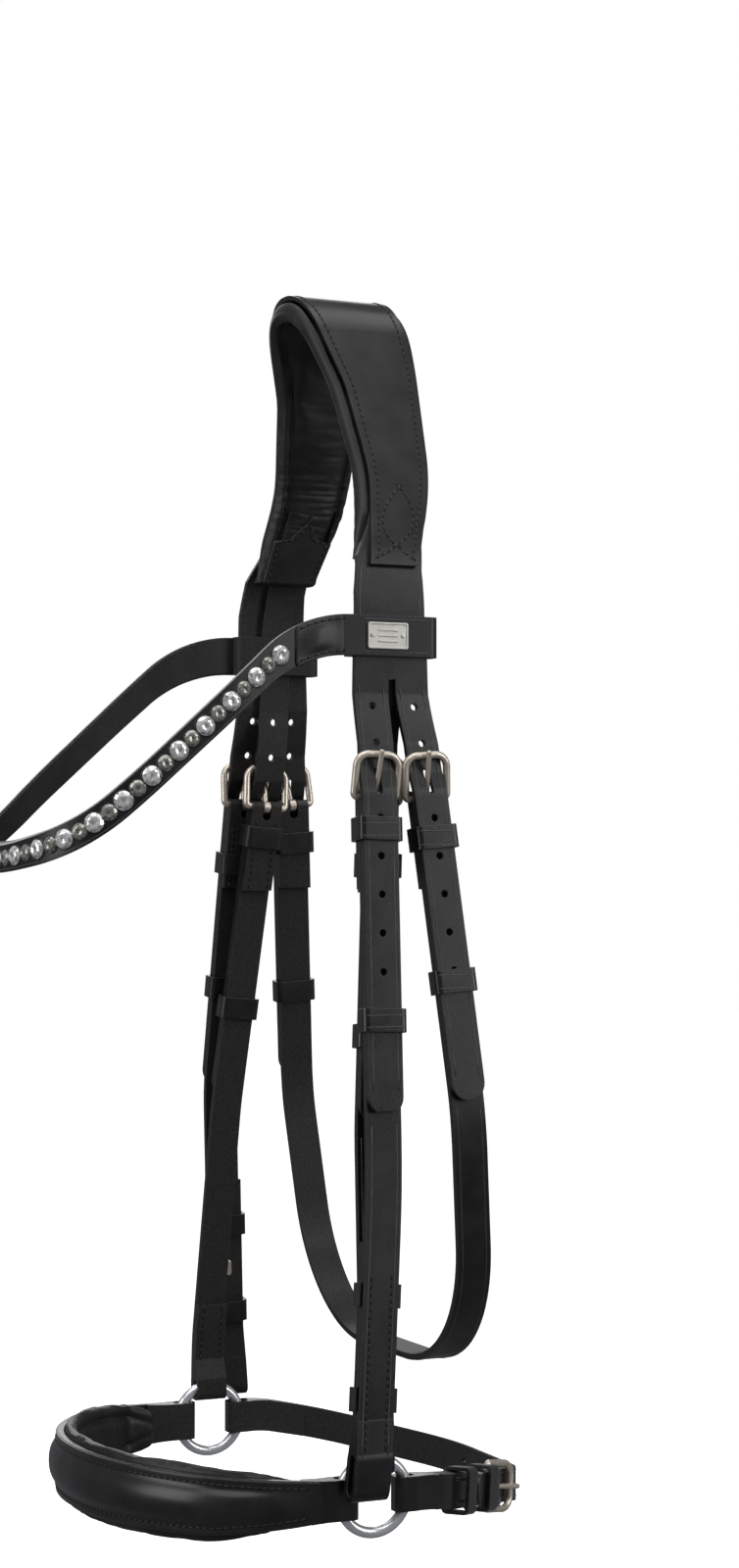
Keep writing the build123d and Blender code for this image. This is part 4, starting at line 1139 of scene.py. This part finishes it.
def brow_overlays():
    """Stitched raised leather between each loop and the first stones, and edge creases."""
    for side, sign in SIDES.items():
        places = hoop("browband", BROW_CENTRE, 0, sign * 128, 130)
        overlay = [p for p in places if -0.052 < p.at(0.5).y < -0.026]
        piece = raised(f"{side}_browband_raised_leather", overlay, 3.0 * MM, 1.5 * MM, 0.7 * MM, "browband",
                       "strap_leather", BROW_STRAP, 8)
        rows = both_edges(overlay, 2.0 * MM, 0.03, 0.97)
        stitch_rows(f"{side}_browband_stitching", "browband", rows, target=mesh_tree(piece.data))
        front = [p for p in places if p.at(0.5).y <= -0.054]
        creases(f"{side}_browband_creases", "browband", [edge_line(front, "low", 1.3 * MM)])
        loop = hoop("browband", Vector((0, 0, height_of(158))), sign * 76, sign * 101, 30)
        lines = both_edges(loop, 1.7 * MM)
        creases(f"{side}_browband_loop_creases", "browband", lines)


brow_overlays()


# ---- stage ---------------------------------------------------------------------------------
def stage():
    """Pale floor, well under the hanging bridle."""
    mesh = bpy.data.meshes.new("floor")
    level = CAD_BOX[0].z - 0.3
    reach = 9.0
    corners = [(-reach, -reach, level), (reach, -reach, level), (reach, reach, level), (-reach, reach, level)]
    mesh.from_pydata(corners, [], [(0, 1, 2, 3)])
    floor = in_scene("floor", mesh)
    material, tree, shader, place = new_material("floor_paper")
    paper = mix(tree, noise(tree, place, 3, 2), (0.9, 0.9, 0.9), (0.93, 0.93, 0.925))
    feed(tree, shader, Base_Color=paper, Emission_Color=paper, Emission_Strength=1.12, Roughness=0.9)
    floor.visible_diffuse = False
    floor.visible_glossy = False
    mesh.materials.append(material)


def soft_light(name, place, aim, size, power):
    """A rectangular lamp, its size in metres and its power in watts."""
    data = bpy.data.lights.new(name, "AREA")
    data.shape = "RECTANGLE"
    data.size, data.size_y = size
    data.energy = power
    lamp = in_scene(name, data)
    lamp.location = place
    lamp.rotation_euler = (Vector(aim) - Vector(place)).to_track_quat("-Z", "Y").to_euler()


def world_light():
    """White surroundings: bright to the eye, dimmer as a light, so that black leather stays black."""
    world = bpy.data.worlds.new("studio")
    world.use_nodes = True
    tree = world.node_tree
    tree.nodes.clear()
    path = tree.nodes.new("ShaderNodeLightPath")
    seen = tree.nodes.new("ShaderNodeBackground")
    light = tree.nodes.new("ShaderNodeBackground")
    chosen = tree.nodes.new("ShaderNodeMixShader")
    output = tree.nodes.new("ShaderNodeOutputWorld")
    seen.inputs[0].default_value = (1, 1, 1, 1)
    light.inputs[0].default_value = (0.15, 0.153, 0.16, 1)
    tree.links.new(path.outputs["Is Camera Ray"], chosen.inputs[0])
    tree.links.new(light.outputs[0], chosen.inputs[1])
    tree.links.new(seen.outputs[0], chosen.inputs[2])
    tree.links.new(chosen.outputs[0], output.inputs[0])
    bpy.context.scene.world = world


CAMERA_AZIMUTH, CAMERA_YAW, CAMERA_PITCH = math.radians(66), math.radians(0.686), math.radians(1.762)
CAMERA_AWAY = 1.3
CAMERA_LEVEL = -0.2474
CAMERA_LENS = 65.8


def camera():
    """The viewpoint: from the near side, a little in front, level with the middle of the bridle."""
    azimuth, distance, yaw, pitch = CAMERA_AZIMUTH, CAMERA_AWAY, CAMERA_YAW, CAMERA_PITCH
    place = Vector((distance * math.sin(azimuth), -distance * math.cos(azimuth), CAMERA_LEVEL))
    turned = azimuth - yaw
    ahead = Vector((-math.sin(turned) * math.cos(pitch), math.cos(turned) * math.cos(pitch), math.sin(pitch)))
    data = bpy.data.cameras.new("camera")
    data.lens = CAMERA_LENS
    data.clip_start, data.clip_end = 0.05, 40
    body = in_scene("camera", data)
    body.location = place
    body.rotation_mode = "QUATERNION"
    body.rotation_quaternion = ahead.to_track_quat("-Z", "Y")
    bpy.context.scene.camera = body


stage()
FRONT_AIM, REAR_AIM = (0, -0.02, -0.3), (0, 0, -0.28)
soft_light("overhead", (0.3, -0.2, 1.1), FRONT_AIM, (1.8, 1.8), 19)
soft_light("front_left", (0.2, -1.9, 0.25), FRONT_AIM, (0.9, 1.6), 14)
soft_light("right_rear", (1.5, 1.3, 0.35), REAR_AIM, (0.7, 1.5), 13)
soft_light("far_side", (-1.7, 0.4, 0.4), REAR_AIM, (1.2, 1.2), 9)
world_light()
camera()
bpy.context.scene.view_settings.view_transform = "Standard"
